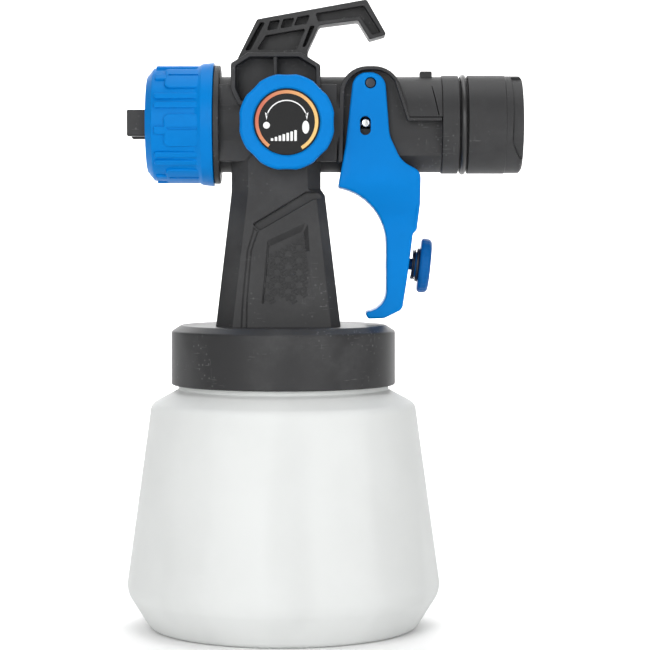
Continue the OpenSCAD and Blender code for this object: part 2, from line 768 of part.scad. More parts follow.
module pickup_tube() {
    sides = 20;
    line = pickup_line();
    last = len(line) - 1;
    // each station has the outer ring first and then the bore's
    points = [for (p = line, r = [tube_r, tube_bore], j = [0 : sides - 1])
        let (b = 360 * j / sides)
        [p[0] + r * cos(b) * cos(p[2]), r * sin(b), p[1] - r * cos(b) * sin(p[2])]];
    at = function (i, ring, j) (2 * i + ring) * sides + j % sides;
    walls = [for (i = [0 : last - 1], j = [0 : sides - 1])
        each [[at(i, 0, j), at(i, 0, j + 1), at(i + 1, 0, j + 1), at(i + 1, 0, j)],
            [at(i, 1, j + 1), at(i, 1, j), at(i + 1, 1, j), at(i + 1, 1, j + 1)]]];
    ends = [for (j = [0 : sides - 1])
        each [[at(0, 0, j + 1), at(0, 0, j), at(0, 1, j), at(0, 1, j + 1)],
            [at(last, 0, j), at(last, 0, j + 1), at(last, 1, j + 1), at(last, 1, j)]]];
    color(frosted) polyhedron(points, concat(walls, ends), convexity = 10);
}

module suction_strainer() {
    color(black_plastic) below_bend() translate([0, 0, lower_run - 6]) difference() {
        cylinder(r = 5.6, h = 14);
        translate([0, 0, -over]) cylinder(r = tube_r + fit, h = 7);
        cylinder(r = 3.2, h = 12.6);
        for (turn = [0 : 45 : 135], h = [8, 10.4])
            rotate([0, 0, turn]) translate([-7, -0.6, h]) cube([14, 1.2, 1.4]);
    }
}

// Outline of the cup, drawn in by a wall's thickness and with its floor at a height
function cup_profile(wall, floor, top) = rounded([[0, floor, 0],
    [51.3 - 0.6 * wall, floor, 4 - wall], [cup_r - wall, 14.6, 10 - wall],
    [50.8 - wall, 86.2, 4 - wall], [neck_r - wall, 91.8 - 0.5 * wall, 0.8], [neck_r - wall, top, 0],
    [0, top, 0]], 6);

module container() {
    color(frosted) difference() {
        rotate_extrude() polygon(cup_profile(0, 0, neck_top));
        rotate_extrude() polygon(cup_profile(cup_wall, cup_wall + 1, neck_top + over));
        translate([0, 0, -over]) cylinder(r = 38, h = over + 1);
    }
}

gun_body();
hanging_hook();
inlet_sleeve();
inlet_oring();
union_nut();
nut_thrust_ring();
air_cap();
baffle_plate();
fluid_nozzle();
nozzle_gasket();
fluid_needle();
needle_pin();
needle_packing();
packing_nut();
needle_spring();
spring_cap();
jog_wheel();
dial_plate();
valve_spindle();
wheel_screw();
spindle_oring();
trigger();
pivot_pin();
knob_insert();
flow_knob();
knob_spring();
knob_washer();
cup_lid();
lid_screws();
lid_gasket();
check_valve();
valve_membrane();
tube_seal();
pickup_tube();
suction_strainer();
container();
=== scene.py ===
"""Builds the visible pieces of a cup-fed air spray gun around its engineering model."""

import math

import bmesh
import bpy
import numpy as np
from bpy.props import FloatProperty, FloatVectorProperty, IntProperty, PointerProperty
from mathutils import Matrix, Vector
from mathutils.geometry import delaunay_2d_cdt


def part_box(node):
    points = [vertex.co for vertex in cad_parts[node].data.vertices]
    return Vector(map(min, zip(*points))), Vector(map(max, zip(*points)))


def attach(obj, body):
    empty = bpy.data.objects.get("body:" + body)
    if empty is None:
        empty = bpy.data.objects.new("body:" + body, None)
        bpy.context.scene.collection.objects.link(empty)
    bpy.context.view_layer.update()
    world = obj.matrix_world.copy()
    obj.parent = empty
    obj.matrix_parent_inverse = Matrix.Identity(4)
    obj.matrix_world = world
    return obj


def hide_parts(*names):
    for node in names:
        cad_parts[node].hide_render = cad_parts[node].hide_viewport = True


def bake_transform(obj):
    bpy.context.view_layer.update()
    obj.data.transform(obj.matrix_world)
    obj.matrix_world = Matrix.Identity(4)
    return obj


bl_info = {
    "name": "Cup-fed spray gun",
    "version": (1, 0, 0),
    "blender": (4, 5, 0),
    "location": "View3D > Sidebar > Spray gun",
    "description": "Builds the visible pieces of an air spray gun around its engineering model",
    "category": "Add Mesh",
}

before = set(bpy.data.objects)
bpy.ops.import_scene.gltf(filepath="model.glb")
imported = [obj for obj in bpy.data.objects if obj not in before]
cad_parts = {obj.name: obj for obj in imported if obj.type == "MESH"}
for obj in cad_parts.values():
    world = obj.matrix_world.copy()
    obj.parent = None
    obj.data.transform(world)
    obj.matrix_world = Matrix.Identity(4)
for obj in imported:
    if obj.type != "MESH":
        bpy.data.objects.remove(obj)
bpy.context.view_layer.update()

MM = 0.001
# how far a cutter reaches past the face that it cuts, in millimetres
OVER = 3.0


def node_box(node):
    """Lowest and highest corner of an engineering node, in millimetres."""
    low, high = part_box(node)
    return low / MM, high / MM


# ---------- sizes and colours ----------


def length(name, description, millimetres):
    """A length that the sidebar shows in the scene's unit."""
    return FloatProperty(
        name=name, description=description, default=millimetres * MM, unit="LENGTH", precision=5
    )


def angle(name, description, degrees):
    return FloatProperty(
        name=name, description=description, default=math.radians(degrees), unit="ROTATION",
        subtype="ANGLE",
    )


def number(name, description, value):
    return IntProperty(name=name, description=description, default=value, min=3, max=16)


def colour(name, description, value):
    """A colour given in linear light."""
    return FloatVectorProperty(
        name=name, description=description, default=value, size=3, subtype="COLOR", min=0, max=1
    )


class ShellSizes(bpy.types.PropertyGroup):
    """Sizes of the gun's black shell."""

    axis_height: length("Axis height", "Height of the barrel's axis over the foot plane", 193.2)
    barrel_radius: length("Barrel radius", "Outside radius of the barrel", 18.3)
    air_way_radius: length("Air way radius", "Radius of the air way round the fluid core", 12.2)
    core_radius: length("Core radius", "Radius of the fluid core on the barrel's axis", 8.0)
    boss_radius: length("Boss radius", "Radius of the boss that the union nut screws on", 19.4)
    flange_radius: length("Flange radius", "Radius of the flange behind the union nut", 22.7)
    housing_half: length("Housing half width", "Half the width of the wheel's housing", 19.0)
    recess_floor: length("Recess floor", "Distance of the housing's sunk floor from the middle", 11.0)
    ear_half: length("Ear half width", "Half the width over the trigger's ears", 17.6)
    pocket_half: length("Pocket half width", "Distance of the trigger's pocket floor from the middle", 13.6)
    pillar_foot_half: length("Pillar foot half width", "Half the pillar's depth at the lid", 24.0)
    pillar_top_half: length("Pillar top half width", "Half the pillar's depth at its upper end", 17.6)
    edge: length("Edge radius", "Radius of the shell's rounded edges", 0.5)
    ridge_height: length("Ridge height", "Height of the ridges on the grip field", 0.34)
    ridge_pitch: length("Ridge pitch", "Distance between neighbouring ridges", 1.1)
    mark_pitch: length("Mark pitch", "Distance between the grip field's three-armed marks", 4.7)


class InletSizes(bpy.types.PropertyGroup):
    """Sizes of the air inlet."""

    sleeve_radius: length("Sleeve radius", "Outside radius of the plain sleeve", 18.8)
    bore_radius: length("Bore radius", "Radius of the sleeve's bore", 15.8)
    ring_place: length("Ring place", "Place of the O-ring along the barrel", 68.5)
    ring_wire: length("Ring wire radius", "Radius of the O-ring's round section", 1.15)
    groove_floor: length("Groove floor radius", "Radius of the O-ring groove's floor", 16.85)


class NozzleSizes(bpy.types.PropertyGroup):
    """Sizes of the union nut and the air cap."""

    pads: number("Grip pads", "Number of grip pads round the union nut", 6)
    nut_radius: length("Nut radius", "Radius over the grip pads", 22.5)
    nut_flange_radius: length("Nut flange radius", "Radius of the nut's rear flange", 23.7)
    pad_rise: length("Pad rise", "Height of the grip pads over the nut's wall", 0.9)
    horn_half_height: length("Horn half height", "Half the height of an air cap horn", 5.0)
    cap_turn: angle("Cap turn", "How far the air cap is turned from upright", -0.6)


class WheelSizes(bpy.types.PropertyGroup):
    """Sizes of the jog wheel and its dial."""

    centre_x: length("Wheel place", "Place of the wheel's axis along the barrel", 1.8)
    centre_z: length("Wheel height", "Height of the wheel's axis", 193.0)
    radius: length("Wheel radius", "Largest radius of the wheel", 17.9)
    hollows: number("Hollows", "Number of hollows round the wheel", 8)
    hollow_depth: length("Hollow depth", "Depth of the hollows in the rim", 0.45)
    dial_radius: length("Dial radius", "Radius of the dial plate", 12.3)
    scale_radius: length("Scale radius", "Middle radius of the coloured scale", 11.1)
    scale_width: length("Scale width", "Width of the coloured scale", 1.25)


class TriggerSizes(bpy.types.PropertyGroup):
    """Sizes of the trigger and the flow knob."""

    pivot_x: length("Pivot place", "Place of the trigger's pivot along the barrel", 33.1)
    pivot_z: length("Pivot height", "Height of the trigger's pivot", 208.2)
    yoke_half: length("Yoke half width", "Half the width over the yoke's side plates", 17.5)
    yoke_gap: length("Yoke gap", "Half the distance between the side plates", 14.1)
    finger_half: length("Finger half width", "Half the width of the finger lever", 9.2)
    edge: length("Edge radius", "Radius of the lever's rounded edges", 0.9)
    knob_x: length("Knob place", "Place of the flow knob's seat along the barrel", 48.35)
    knob_z: length("Knob height", "Height of the flow knob's seat", 139.8)
    knob_radius: length("Knob radius", "Radius of the flow knob's head", 10.5)
    knob_tilt: angle("Knob tilt", "Tilt of the flow knob's axis", 6.0)


class CupSizes(bpy.types.PropertyGroup):
    """Sizes of the lid and the container."""

    largest_radius: length("Container radius", "Largest radius of the container", 60.5)
    neck_radius: length("Neck radius", "Radius of the container's neck", 40.4)
    wall: length("Wall", "Thickness of the container's wall", 1.8)
    lid_radius: length("Lid radius", "Outside radius of the lid", 43.0)
    tube_radius: length("Tube radius", "Outside radius of the pickup tube", 3.5)


class Colours(bpy.types.PropertyGroup):
    """Colours of the gun's finishes, in linear light."""

    black: colour("Black plastic", "Moulded black plastic", (0.026, 0.026, 0.027))
    black_worn: colour("Worn black plastic", "Rubbed places of the black plastic", (0.11, 0.11, 0.112))
    bright_blue: colour("Bright blue plastic", "Nut, wheel and trigger", (0.0, 0.185, 0.56))
    deep_blue: colour("Deep blue plastic", "Flow knob", (0.004, 0.10, 0.33))
    frosted: colour("Frosted plastic", "Container", (0.785, 0.80, 0.79))
    scale_start: colour("Scale start", "Left end of the dial's scale", (0.50, 0.11, 0.075))
    scale_end: colour("Scale end", "Right end of the dial's scale", (0.76, 0.50, 0.17))
    floor: colour("Floor", "Studio floor", (0.95, 0.95, 0.95))


class Millimetres:
    """Reads a group's lengths in millimetres and its other values as they are."""

    def __init__(self, group):
        self.group = group

    def __getattr__(self, name):
        value = getattr(self.group, name)
        return value / MM if self.group.bl_rna.properties[name].unit == "LENGTH" else value


def sizes_of(part):
    return Millimetres(getattr(bpy.context.scene, f"gun_{part}_sizes"))


# ---------- outlines ----------


def fillet(a, b, c, radius, steps):
    """Points that round the corner b between a and c."""
    a, b, c = Vector(a), Vector(b), Vector(c)
    u, w = (a - b).normalized(), (c - b).normalized()
    half = math.acos(max(-1, min(1, u.dot(w)))) / 2
    centre = b + (u + w).normalized() * radius / math.sin(half)
    p = b + u * radius / math.tan(half) - centre
    q = b + w * radius / math.tan(half) - centre
    start = math.atan2(p.y, p.x)
    sweep = (math.atan2(q.y, q.x) - start + math.pi) % (2 * math.pi) - math.pi
    return [
        (centre.x + radius * math.cos(start + sweep * i / steps),
         centre.y + radius * math.sin(start + sweep * i / steps))
        for i in range(steps + 1)
    ]


def rounded(corners, steps=6):
    """Closed outline through corners given as (x, y, radius)."""
    points = []
    for i, (x, y, radius) in enumerate(corners):
        before, after = corners[i - 1], corners[(i + 1) % len(corners)]
        points += fillet(before[:2], (x, y), after[:2], radius, steps) if radius else [(x, y)]
    return points


def box_outline(x0, x1, y0, y1, radius=0.0):
    return rounded([(x0, y0, radius), (x1, y0, radius), (x1, y1, radius), (x0, y1, radius)])


def whole_turn(steps):
    """Angles that share a whole turn into equal steps."""
    return [2 * math.pi * i / steps for i in range(steps)]


def round_outline(x, y, radius, steps=48, stretch=1.0):
    return [
        (x + radius * math.cos(t), y + radius * stretch * math.sin(t)) for t in whole_turn(steps)
    ]


def hexagon(radius, height):
    """Six corners round the barrel's axis, as (y, z)."""
    return [(radius * math.cos(t), height + radius * math.sin(t)) for t in whole_turn(6)]


def inset(outline, distance):
    """Closed outline moved inwards by a distance, or outwards by a negative one."""
    if not distance:
        return list(outline)
    p = np.array(outline, float)
    along = np.roll(p, -1, 0) - p
    area = (p[:, 0] * np.roll(p[:, 1], -1) - np.roll(p[:, 0], -1) * p[:, 1]).sum()
    along /= np.linalg.norm(along, axis=1)[:, None]
    inward = np.stack([-along[:, 1], along[:, 0]], 1) * (1 if area > 0 else -1)
    before = np.roll(inward, 1, 0)
    mitre = (inward + before) / (1 + (inward * before).sum(1))[:, None]
    return [tuple(row) for row in p + mitre * distance]


def inner_grid(outline, spacing):
    """Points of a square grid that lie inside an outline and clear of it."""
    p = np.array(outline, float)
    q = np.roll(p, -1, 0)
    low, high = p.min(0), p.max(0)
    x, y = np.meshgrid(*[np.arange(low[k] + spacing / 2, high[k], spacing) for k in (0, 1)])
    grid = np.stack([x.ravel(), y.ravel()], 1)
    step = q - p
    share = ((grid[:, None] - p) * step).sum(2) / (step ** 2).sum(1)
    nearest = p + np.clip(share, 0, 1)[:, :, None] * step
    distance = np.linalg.norm(grid[:, None] - nearest, axis=2).min(1)
    crosses = (p[:, 1] > grid[:, None, 1]) != (q[:, 1] > grid[:, None, 1])
    with np.errstate(divide="ignore", invalid="ignore"):
        at = p[:, 0] + (grid[:, None, 1] - p[:, 1]) / step[:, 1] * step[:, 0]
    inside = (crosses & (grid[:, None, 0] < at)).sum(1) % 2 == 1
    return [tuple(row) for row in grid[inside & (distance > spacing * 0.45)]]


# ---------- solids, in millimetres ----------


def closed_mesh(bm, name="solid"):
    bmesh.ops.remove_doubles(bm, verts=bm.verts, dist=1e-5)
    bmesh.ops.recalc_face_normals(bm, faces=bm.faces)
    mesh = bpy.data.meshes.new(name)
    bm.to_mesh(mesh)
    bm.free()
    return mesh


def bridge(bm, a, b):
    for i in range(len(a)):
        k = (i + 1) % len(a)
        bm.faces.new((a[i], a[k], b[k], b[i]))


def ruled(rings):
    """Closed solid through rings of equally many points, with flat ends."""
    bm = bmesh.new()
    made = [[bm.verts.new(point) for point in ring] for ring in rings]
    for a, b in zip(made, made[1:]):
        bridge(bm, a, b)
    bm.faces.new(made[0])
    bm.faces.new(made[-1])
    return closed_mesh(bm)


def panel(outline, stations, place, spacing):
    """Closed solid through insets of an outline, with gridded ends that can curve.
    Stations are (level, inset), and place turns u, v and a level into a point."""
    bm = bmesh.new()
    rings = []
    for level, inward in stations:
        flat = inset(outline, inward)
        rings.append((level, flat, [bm.verts.new(place(u, v, level)) for u, v in flat]))
    for a, b in zip(rings, rings[1:]):
        bridge(bm, a[2], b[2])
    for level, flat, ring in (rings[0], rings[-1]):
        count = len(flat)
        coords, _, faces, origins, _, _ = delaunay_2d_cdt(
            [Vector(p) for p in flat + inner_grid(flat, spacing)], [], [list(range(count))], 1, 1e-6
        )
        verts = [
            ring[source[0]] if source and source[0] < count else bm.verts.new(place(p.x, p.y, level))
            for p, source in zip(coords, origins)
        ]
        for face in faces:
            bm.faces.new([verts[i] for i in face])
    return closed_mesh(bm)


def rounding(face, way, radius, steps=3):
    """Stations of a rounded edge that starts at a face: (place, inset)."""
    if not radius:
        return [(face, 0.0)]
    turns = [math.pi / 2 * i / steps for i in range(steps + 1)]
    return [(face + way * radius * (1 - math.cos(t)), radius * (1 - math.sin(t))) for t in turns]


AXES = {
    "X": lambda u, v, w: (w, u, v),
    "Y": lambda u, v, w: (u, w, v),
    "Z": lambda u, v, w: (u, v, w),
}


def stacked(outline, stations, axis):
    """Solid through insets of an outline at places along an axis, from (place, inset)."""
    return ruled([[AXES[axis](u, v, w) for u, v in inset(outline, i)] for w, i in stations])


def slab(outline, low, high, axis="Y", edge=0.4):
    """Outline given thickness along an axis, with rounded edges."""
    stations = rounding(low, 1, edge) + rounding(high, -1, edge)[::-1]
    return stacked(outline, stations, axis)


def pocket(outline, face, floor, axis="Y", flare=0.3, floor_edge=0.3):
    """Cutter of a recess from a face to a floor, whose rim flares into a rounded edge."""
    way = 1 if floor > face else -1
    rim = [(w, -i) for w, i in rounding(face, way, flare)]
    stations = [(face - way * OVER, -flare)] + rim + rounding(floor, -way, floor_edge)[::-1]
    return stacked(outline, stations, axis)


def turned(profile, axis="X", centre=(0.0, 0.0), steps=128, fillet_steps=4, shape=None):
    """Solid of revolution from (along, radius, fillet) corners; shape can vary the radius."""
    line = rounded([tuple(p) + (0,) * (3 - len(p)) for p in profile], fillet_steps)
    open_ends = line[0][1] == 0 and line[-1][1] == 0
    bm = bmesh.new()
    rings = []
    for along, radius in line:
        ring = []
        for t in whole_turn(steps) if radius > 0 else [0.0]:
            r = shape(t, along, radius) if shape else radius
            u, v = centre[0] + r * math.cos(t), centre[1] + r * math.sin(t)
            ring.append(bm.verts.new(AXES[axis](u, v, along)))
        rings.append(ring)
    pairs = list(zip(rings, rings[1:])) + ([] if open_ends else [(rings[-1], rings[0])])
    for a, b in pairs:
        if len(a) == len(b) == 1:
            continue
        if len(a) == 1 or len(b) == 1:
            pole, ring = (a[0], b) if len(a) == 1 else (b[0], a)
            for i in range(steps):
                bm.faces.new((pole, ring[i], ring[(i + 1) % steps]))
        else:
            bridge(bm, a, b)
    return closed_mesh(bm)


def bar(radius, low, high, axis="X", centre=(0.0, 0.0), edge=0.0, steps=64):
    """Round bar with rounded ends."""
    return turned([(low, 0), (low, radius, edge), (high, radius, edge), (high, 0)], axis, centre, steps)


def scratch_object(mesh):
    made = bpy.data.objects.new("scratch", mesh)
    bpy.context.scene.collection.objects.link(made)
    return made


def drop(*objects):
    for made in objects:
        mesh = made.data
        bpy.data.objects.remove(made)
        if mesh.users == 0:
            bpy.data.meshes.remove(mesh)


def evaluated_mesh(made):
    """Plain mesh of an object with its modifiers applied."""
    graph = bpy.context.evaluated_depsgraph_get()
    return bpy.data.meshes.new_from_object(made.evaluated_get(graph), depsgraph=graph)


def combine(base, *changes):
    """Base mesh with others added or taken away, in order, from ("UNION" or "DIFFERENCE", mesh)."""
    body = scratch_object(base)
    tools = []
    for operation, mesh in changes:
        tool = scratch_object(mesh)
        tools.append(tool)
        change = body.modifiers.new("change", "BOOLEAN")
        change.operation = operation
        change.object = tool
        change.solver = "MANIFOLD"
    result = evaluated_mesh(body)
    drop(body, *tools)
    return result


def add(*meshes):
    return [("UNION", mesh) for mesh in meshes]


def cut(*meshes):
    return [("DIFFERENCE", mesh) for mesh in meshes]


def moved(mesh, matrix):
    mesh.transform(matrix)
    if matrix.determinant() < 0:
        mesh.flip_normals()
    return mesh


def far_side(mesh):
    """Mirror image of a mesh on the other side of the middle plane."""
    return moved(mesh.copy(), Matrix.Scale(-1, 4, (0, 1, 0)))


def both_sides(*meshes):
    return list(meshes) + [far_side(mesh) for mesh in meshes]


def joined(meshes):
    """One mesh of several that needn't be joined to a single solid."""
    bm = bmesh.new()
    for mesh in meshes:
        bm.from_mesh(mesh)
    return closed_mesh(bm)


def piece(name, mesh, body, slot, finish=None, stands_for=None, sharp=34):
    """Turns a mesh in millimetres into a finished piece that rides on a body. Where nothing else
    is said, it has its slot's finish and stands for the engineering node of the same name."""
    mesh.transform(Matrix.Scale(MM, 4))
    mesh.materials.clear()
    mesh.materials.append(finish_of(finish or slot))
    mesh.shade_smooth()
    mesh.set_sharp_from_angle(angle=math.radians(sharp))
    made = bpy.data.objects.new(name, mesh)
    bpy.context.scene.collection.objects.link(made)
    weighted = made.modifiers.new("normals", "WEIGHTED_NORMAL")
    weighted.keep_sharp = True
    weighted.weight = 70
    final = evaluated_mesh(made)
    made.modifiers.clear()
    made.data = final
    final.name = name
    if body:
        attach(made, body)
    replaced = [name] if stands_for is None else stands_for
    if replaced:
        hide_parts(*replaced)
    return made


# ---------- geometry nodes ----------


class NodeTree:
    """A geometry node tree with named inputs, whose result becomes a plain mesh."""

    def __init__(self, name, inputs):
        self.tree = bpy.data.node_groups.new(name, "GeometryNodeTree")
        self.tree.interface.new_socket("Geometry", in_out="INPUT", socket_type="NodeSocketGeometry")
        self.sockets = {}
        for label, kind in inputs.items():
            kind = "NodeSocket" + kind
            item = self.tree.interface.new_socket(label, in_out="INPUT", socket_type=kind)
            self.sockets[label] = item.identifier
        self.tree.interface.new_socket("Geometry", in_out="OUTPUT", socket_type="NodeSocketGeometry")
        self.start = self.tree.nodes.new("NodeGroupInput")
        self.end = self.tree.nodes.new("NodeGroupOutput")

    def given(self, label):
        return self.start.outputs[label]

    def node(self, kind, settings=None, output=0, **inputs):
        """Adds a node: its settings first, then the values or links of its sockets."""
        made = self.tree.nodes.new(kind)
        for key, value in (settings or {}).items():
            setattr(made, key, value)
        for key, value in inputs.items():
            socket = made.inputs[int(key[1:]) if key[0] == "i" and key[1:].isdigit() else key]
            if isinstance(value, bpy.types.NodeSocket):
                self.tree.links.new(value, socket)
            else:
                socket.default_value = value
        return made.outputs[output]

    def close(self, geometry):
        real = self.node("GeometryNodeRealizeInstances", i0=geometry)
        painted = self.node("GeometryNodeSetMaterial", i0=real, Material=self.given("Material"))
        self.tree.links.new(painted, self.end.inputs[0])

    def run(self, base=None, **values):
        """Plain mesh that the tree makes from a base mesh and its inputs' values."""
        host = scratch_object(base or bpy.data.meshes.new("empty"))
        maker = host.modifiers.new("maker", "NODES")
        maker.node_group = self.tree
        for label, value in values.items():
            maker[self.sockets[label.replace("_", " ")]] = value
        mesh = evaluated_mesh(host)
        drop(host)
        return mesh


def round_array_tree():
    """Copies of a pattern object, turned about an axis through a centre."""
    tree = NodeTree("Round array", {
        "Pattern": "Object", "Count": "Int", "Axis": "Vector", "Centre": "Vector",
        "Material": "Material",
    })
    step = tree.node(
        "ShaderNodeMath", {"operation": "DIVIDE"}, i0=2 * math.pi, i1=tree.given("Count")
    )
    index = tree.node("GeometryNodeInputIndex")
    turn = tree.node("ShaderNodeMath", {"operation": "MULTIPLY"}, i0=index, i1=step)
    turning = tree.node("FunctionNodeAxisAngleToRotation", Axis=tree.given("Axis"), Angle=turn)
    pattern = tree.node("GeometryNodeObjectInfo", output=4, Object=tree.given("Pattern"))
    points = tree.node("GeometryNodePoints", Count=tree.given("Count"))
    copies = tree.node(
        "GeometryNodeInstanceOnPoints", Points=points, Instance=pattern, Rotation=turning
    )
    tree.close(tree.node("GeometryNodeTransform", Geometry=copies, Translation=tree.given("Centre")))
    return tree


def coil_tree():
    """Round wire wound into a coil along an axis."""
    tree = NodeTree("Coil spring", {
        "Wire radius": "Float", "Coil radius": "Float", "Length": "Float", "Turns": "Float",
        "Place": "Vector", "Turn": "Vector", "Material": "Material",
    })
    line = tree.node(
        "GeometryNodeCurveSpiral", Resolution=40, Rotations=tree.given("Turns"), **{
            "Start Radius": tree.given("Coil radius"), "End Radius": tree.given("Coil radius"),
            "Height": tree.given("Length"),
        }
    )
    section = tree.node(
        "GeometryNodeCurvePrimitiveCircle", Resolution=12, Radius=tree.given("Wire radius")
    )
    wire = tree.node(
        "GeometryNodeCurveToMesh", Curve=line, **{"Profile Curve": section, "Fill Caps": True}
    )
    tree.close(tree.node(
        "GeometryNodeTransform", Geometry=wire, Translation=tree.given("Place"),
        Rotation=tree.given("Turn"),
    ))
    return tree


def grip_tree():
    """Three arms of parallel ridges on every point of a mesh."""
    tree = NodeTree("Grip marks", {
        "Ridge length": "Float", "Ridge width": "Float", "Ridge height": "Float",
        "Ridge pitch": "Float", "Arm reach": "Float", "Material": "Material",
    })
    size = tree.node("ShaderNodeCombineXYZ", X=tree.given("Ridge width"),
                     Y=tree.given("Ridge length"), Z=tree.given("Ridge height"))
    ridge = tree.node("GeometryNodeMeshCube", Size=size)
    pitch = tree.node("ShaderNodeCombineXYZ", X=tree.given("Ridge pitch"))
    reach = tree.node("ShaderNodeCombineXYZ", X=tree.given("Arm reach"))
    row = tree.node("GeometryNodeMeshLine", Count=2, Offset=pitch, **{"Start Location": reach})
    arm = tree.node("GeometryNodeInstanceOnPoints", Points=row, Instance=ridge)
    index = tree.node("GeometryNodeInputIndex")
    third = tree.node("ShaderNodeMath", {"operation": "MULTIPLY"}, i0=index, i1=2 * math.pi / 3)
    lean = tree.node("ShaderNodeMath", {"operation": "ADD"}, i0=third, i1=math.pi / 3)
    turning = tree.node("ShaderNodeCombineXYZ", Z=lean)
    three = tree.node("GeometryNodePoints", Count=3)
    mark = tree.node("GeometryNodeInstanceOnPoints", Points=three, Instance=arm, Rotation=turning)
    marks = tree.node(
        "GeometryNodeInstanceOnPoints", Points=tree.given("Geometry"), Instance=mark
    )
    tree.close(marks)
    return tree


def round_array(mesh, count, axis, centre, finish):
    """Plain mesh of copies of a mesh round an axis."""
    pattern = scratch_object(mesh)
    result = round_array_tree().run(
        Pattern=pattern, Count=count, Axis=axis, Centre=centre, Material=finish
    )
    drop(pattern)
    return result


# ---------- finishes ----------


def two_ways(operation):
    """A Math node's operator for a Value before a number or Value, and for one after it."""

    def forward(self, other):
        return self.math(operation, self, other)

    def reflected(self, other):
        return self.math(operation, other, self)

    return forward, reflected


class Value:
    """A shader socket that Python's operators work on, each as one Math node."""

    def __init__(self, finish, socket):
        self.finish = finish
        self.socket = socket

    def math(self, operation, *values):
        settings = {"operation": operation}
        return self.finish.node("ShaderNodeMath", settings, dict(enumerate(values)))

    __add__, __radd__ = two_ways("ADD")
    __sub__, __rsub__ = two_ways("SUBTRACT")
    __mul__, __rmul__ = two_ways("MULTIPLY")
    __truediv__, __rtruediv__ = two_ways("DIVIDE")


def opaque(shade):
    """A grey number or a colour as a colour with full alpha."""
    return (tuple(shade) if hasattr(shade, "__len__") else (shade,) * 3) + (1,)


class Finish:
    """One procedural material: a Principled shader and the patterns that feed it."""

    def __init__(self, name, **constants):
        self.material = bpy.data.materials.new(name)
        self.material.use_nodes = True
        self.tree = self.material.node_tree
        self.tree.nodes.clear()
        self.shader = self.tree.nodes.new("ShaderNodeBsdfPrincipled")
        self.end = self.tree.nodes.new("ShaderNodeOutputMaterial")
        self.tree.links.new(self.shader.outputs[0], self.end.inputs["Surface"])
        for label, value in constants.items():
            self.shader.inputs[label.replace("_", " ")].default_value = value
        self.place = self.node("ShaderNodeTexCoord", output="Object")

    def node(self, kind, settings=None, inputs=None, output=0):
        """Adds a node: its settings first, then the values or links of its sockets."""
        made = self.tree.nodes.new(kind)
        for key, value in (settings or {}).items():
            if key == "stops":
                ramp = made.color_ramp
                while len(ramp.elements) < len(value):
                    ramp.elements.new(0.5)
                for element, (position, shade) in zip(ramp.elements, value):
                    element.position = position
                    element.color = opaque(shade)
            else:
                setattr(made, key, value)
        for key, value in (inputs or {}).items():
            if isinstance(value, Value):
                self.tree.links.new(value.socket, made.inputs[key])
            elif value is not None:
                made.inputs[key].default_value = value
        return Value(self, made.outputs[output])

    def feed(self, label, value):
        self.tree.links.new(value.socket, self.shader.inputs[label])

    def noise(self, scale, detail=3.0, roughness=0.55, place=None, distortion=0.0):
        return self.node("ShaderNodeTexNoise", None, {
            "Vector": place or self.place, "Scale": scale, "Detail": detail,
            "Roughness": roughness, "Distortion": distortion,
        })

    def stretched(self, scale, turn=(0.0, 0.0, 0.0)):
        return self.node("ShaderNodeMapping", None, {
            "Vector": self.place, "Scale": scale, "Rotation": turn,
        })

    def band(self, value, low, high):
        """0 below low, 1 above high, and a smooth step between them."""
        return self.node("ShaderNodeMapRange", {"interpolation_type": "SMOOTHSTEP"}, {
            "Value": value, "From Min": low, "From Max": high,
        })

    def mix(self, share, a, b):
        """Mix of two colours."""
        return self.node("ShaderNodeMix", {"data_type": "RGBA"}, {
            0: share,
            6: a if isinstance(a, Value) else opaque(a),
            7: b if isinstance(b, Value) else opaque(b),
        }, 2)

    def scratches(self, scale, stretch, turn, low, high):
        """Thin lines that run one way."""
        return self.band(self.noise(scale, 2.0, 0.5, self.stretched(stretch, turn)), low, high)

    def bump(self, height, strength, distance):
        self.feed("Normal", self.node("ShaderNodeBump", None, {
            "Height": height, "Strength": strength, "Distance": distance,
        }))


def grain(finish, scale=2600.0):
    """Fine moulded grain."""
    return finish.noise(scale, 2.0, 0.6)


def black_plastic(name, colours, worn=0.75, roughness=0.46):
    """Moulded black plastic with smudges, dust and fine scratches."""
    finish = Finish(name, Specular_IOR_Level=0.28)
    smudge = finish.band(finish.noise(38.0, 5.0, 0.62), 0.42, 0.74)
    level = finish.scratches(160.0, (1.0, 1.0, 14.0), (0.0, 0.5, 0.0), 0.66, 0.72)
    steep = finish.scratches(150.0, (12.0, 1.0, 1.0), (0.0, 0.7, 0.3), 0.67, 0.73)
    patch = finish.band(finish.noise(55.0, 3.0, 0.5), 0.5, 0.66)
    dust = finish.node("ShaderNodeTexVoronoi", {"feature": "F1"}, {
        "Vector": finish.place, "Scale": 460.0, "Randomness": 1.0,
    })
    speck = (1 - finish.band(dust, 0.12, 0.24)) * patch
    rubbed = (level + steep) * patch
    share = smudge * (0.26 * worn) + rubbed * (0.6 * worn) + speck * (0.6 * worn)
    finish.feed("Base Color", finish.mix(share, colours.black, colours.black_worn))
    finish.feed("Roughness", roughness + smudge * 0.10 - rubbed * 0.08 + grain(finish) * 0.06)
    finish.bump(grain(finish) - rubbed * 0.35, 0.16, 0.00012)
    return finish.material


def darker(base, share):
    return [c * share for c in base]


def blue_plastic(name, base, roughness=0.34):
    """Glossy moulded plastic with faint flow marks."""
    finish = Finish(name, Specular_IOR_Level=0.07)
    flow = finish.noise(30.0, 4.0, 0.6)
    share = finish.band(flow, 0.35, 0.7) * 0.6
    finish.feed("Base Color", finish.mix(share, base, darker(base, 0.86)))
    finish.feed("Roughness", roughness + flow * 0.08 + grain(finish) * 0.05)
    finish.bump(grain(finish, 1900.0), 0.08, 0.0001)
    return finish.material


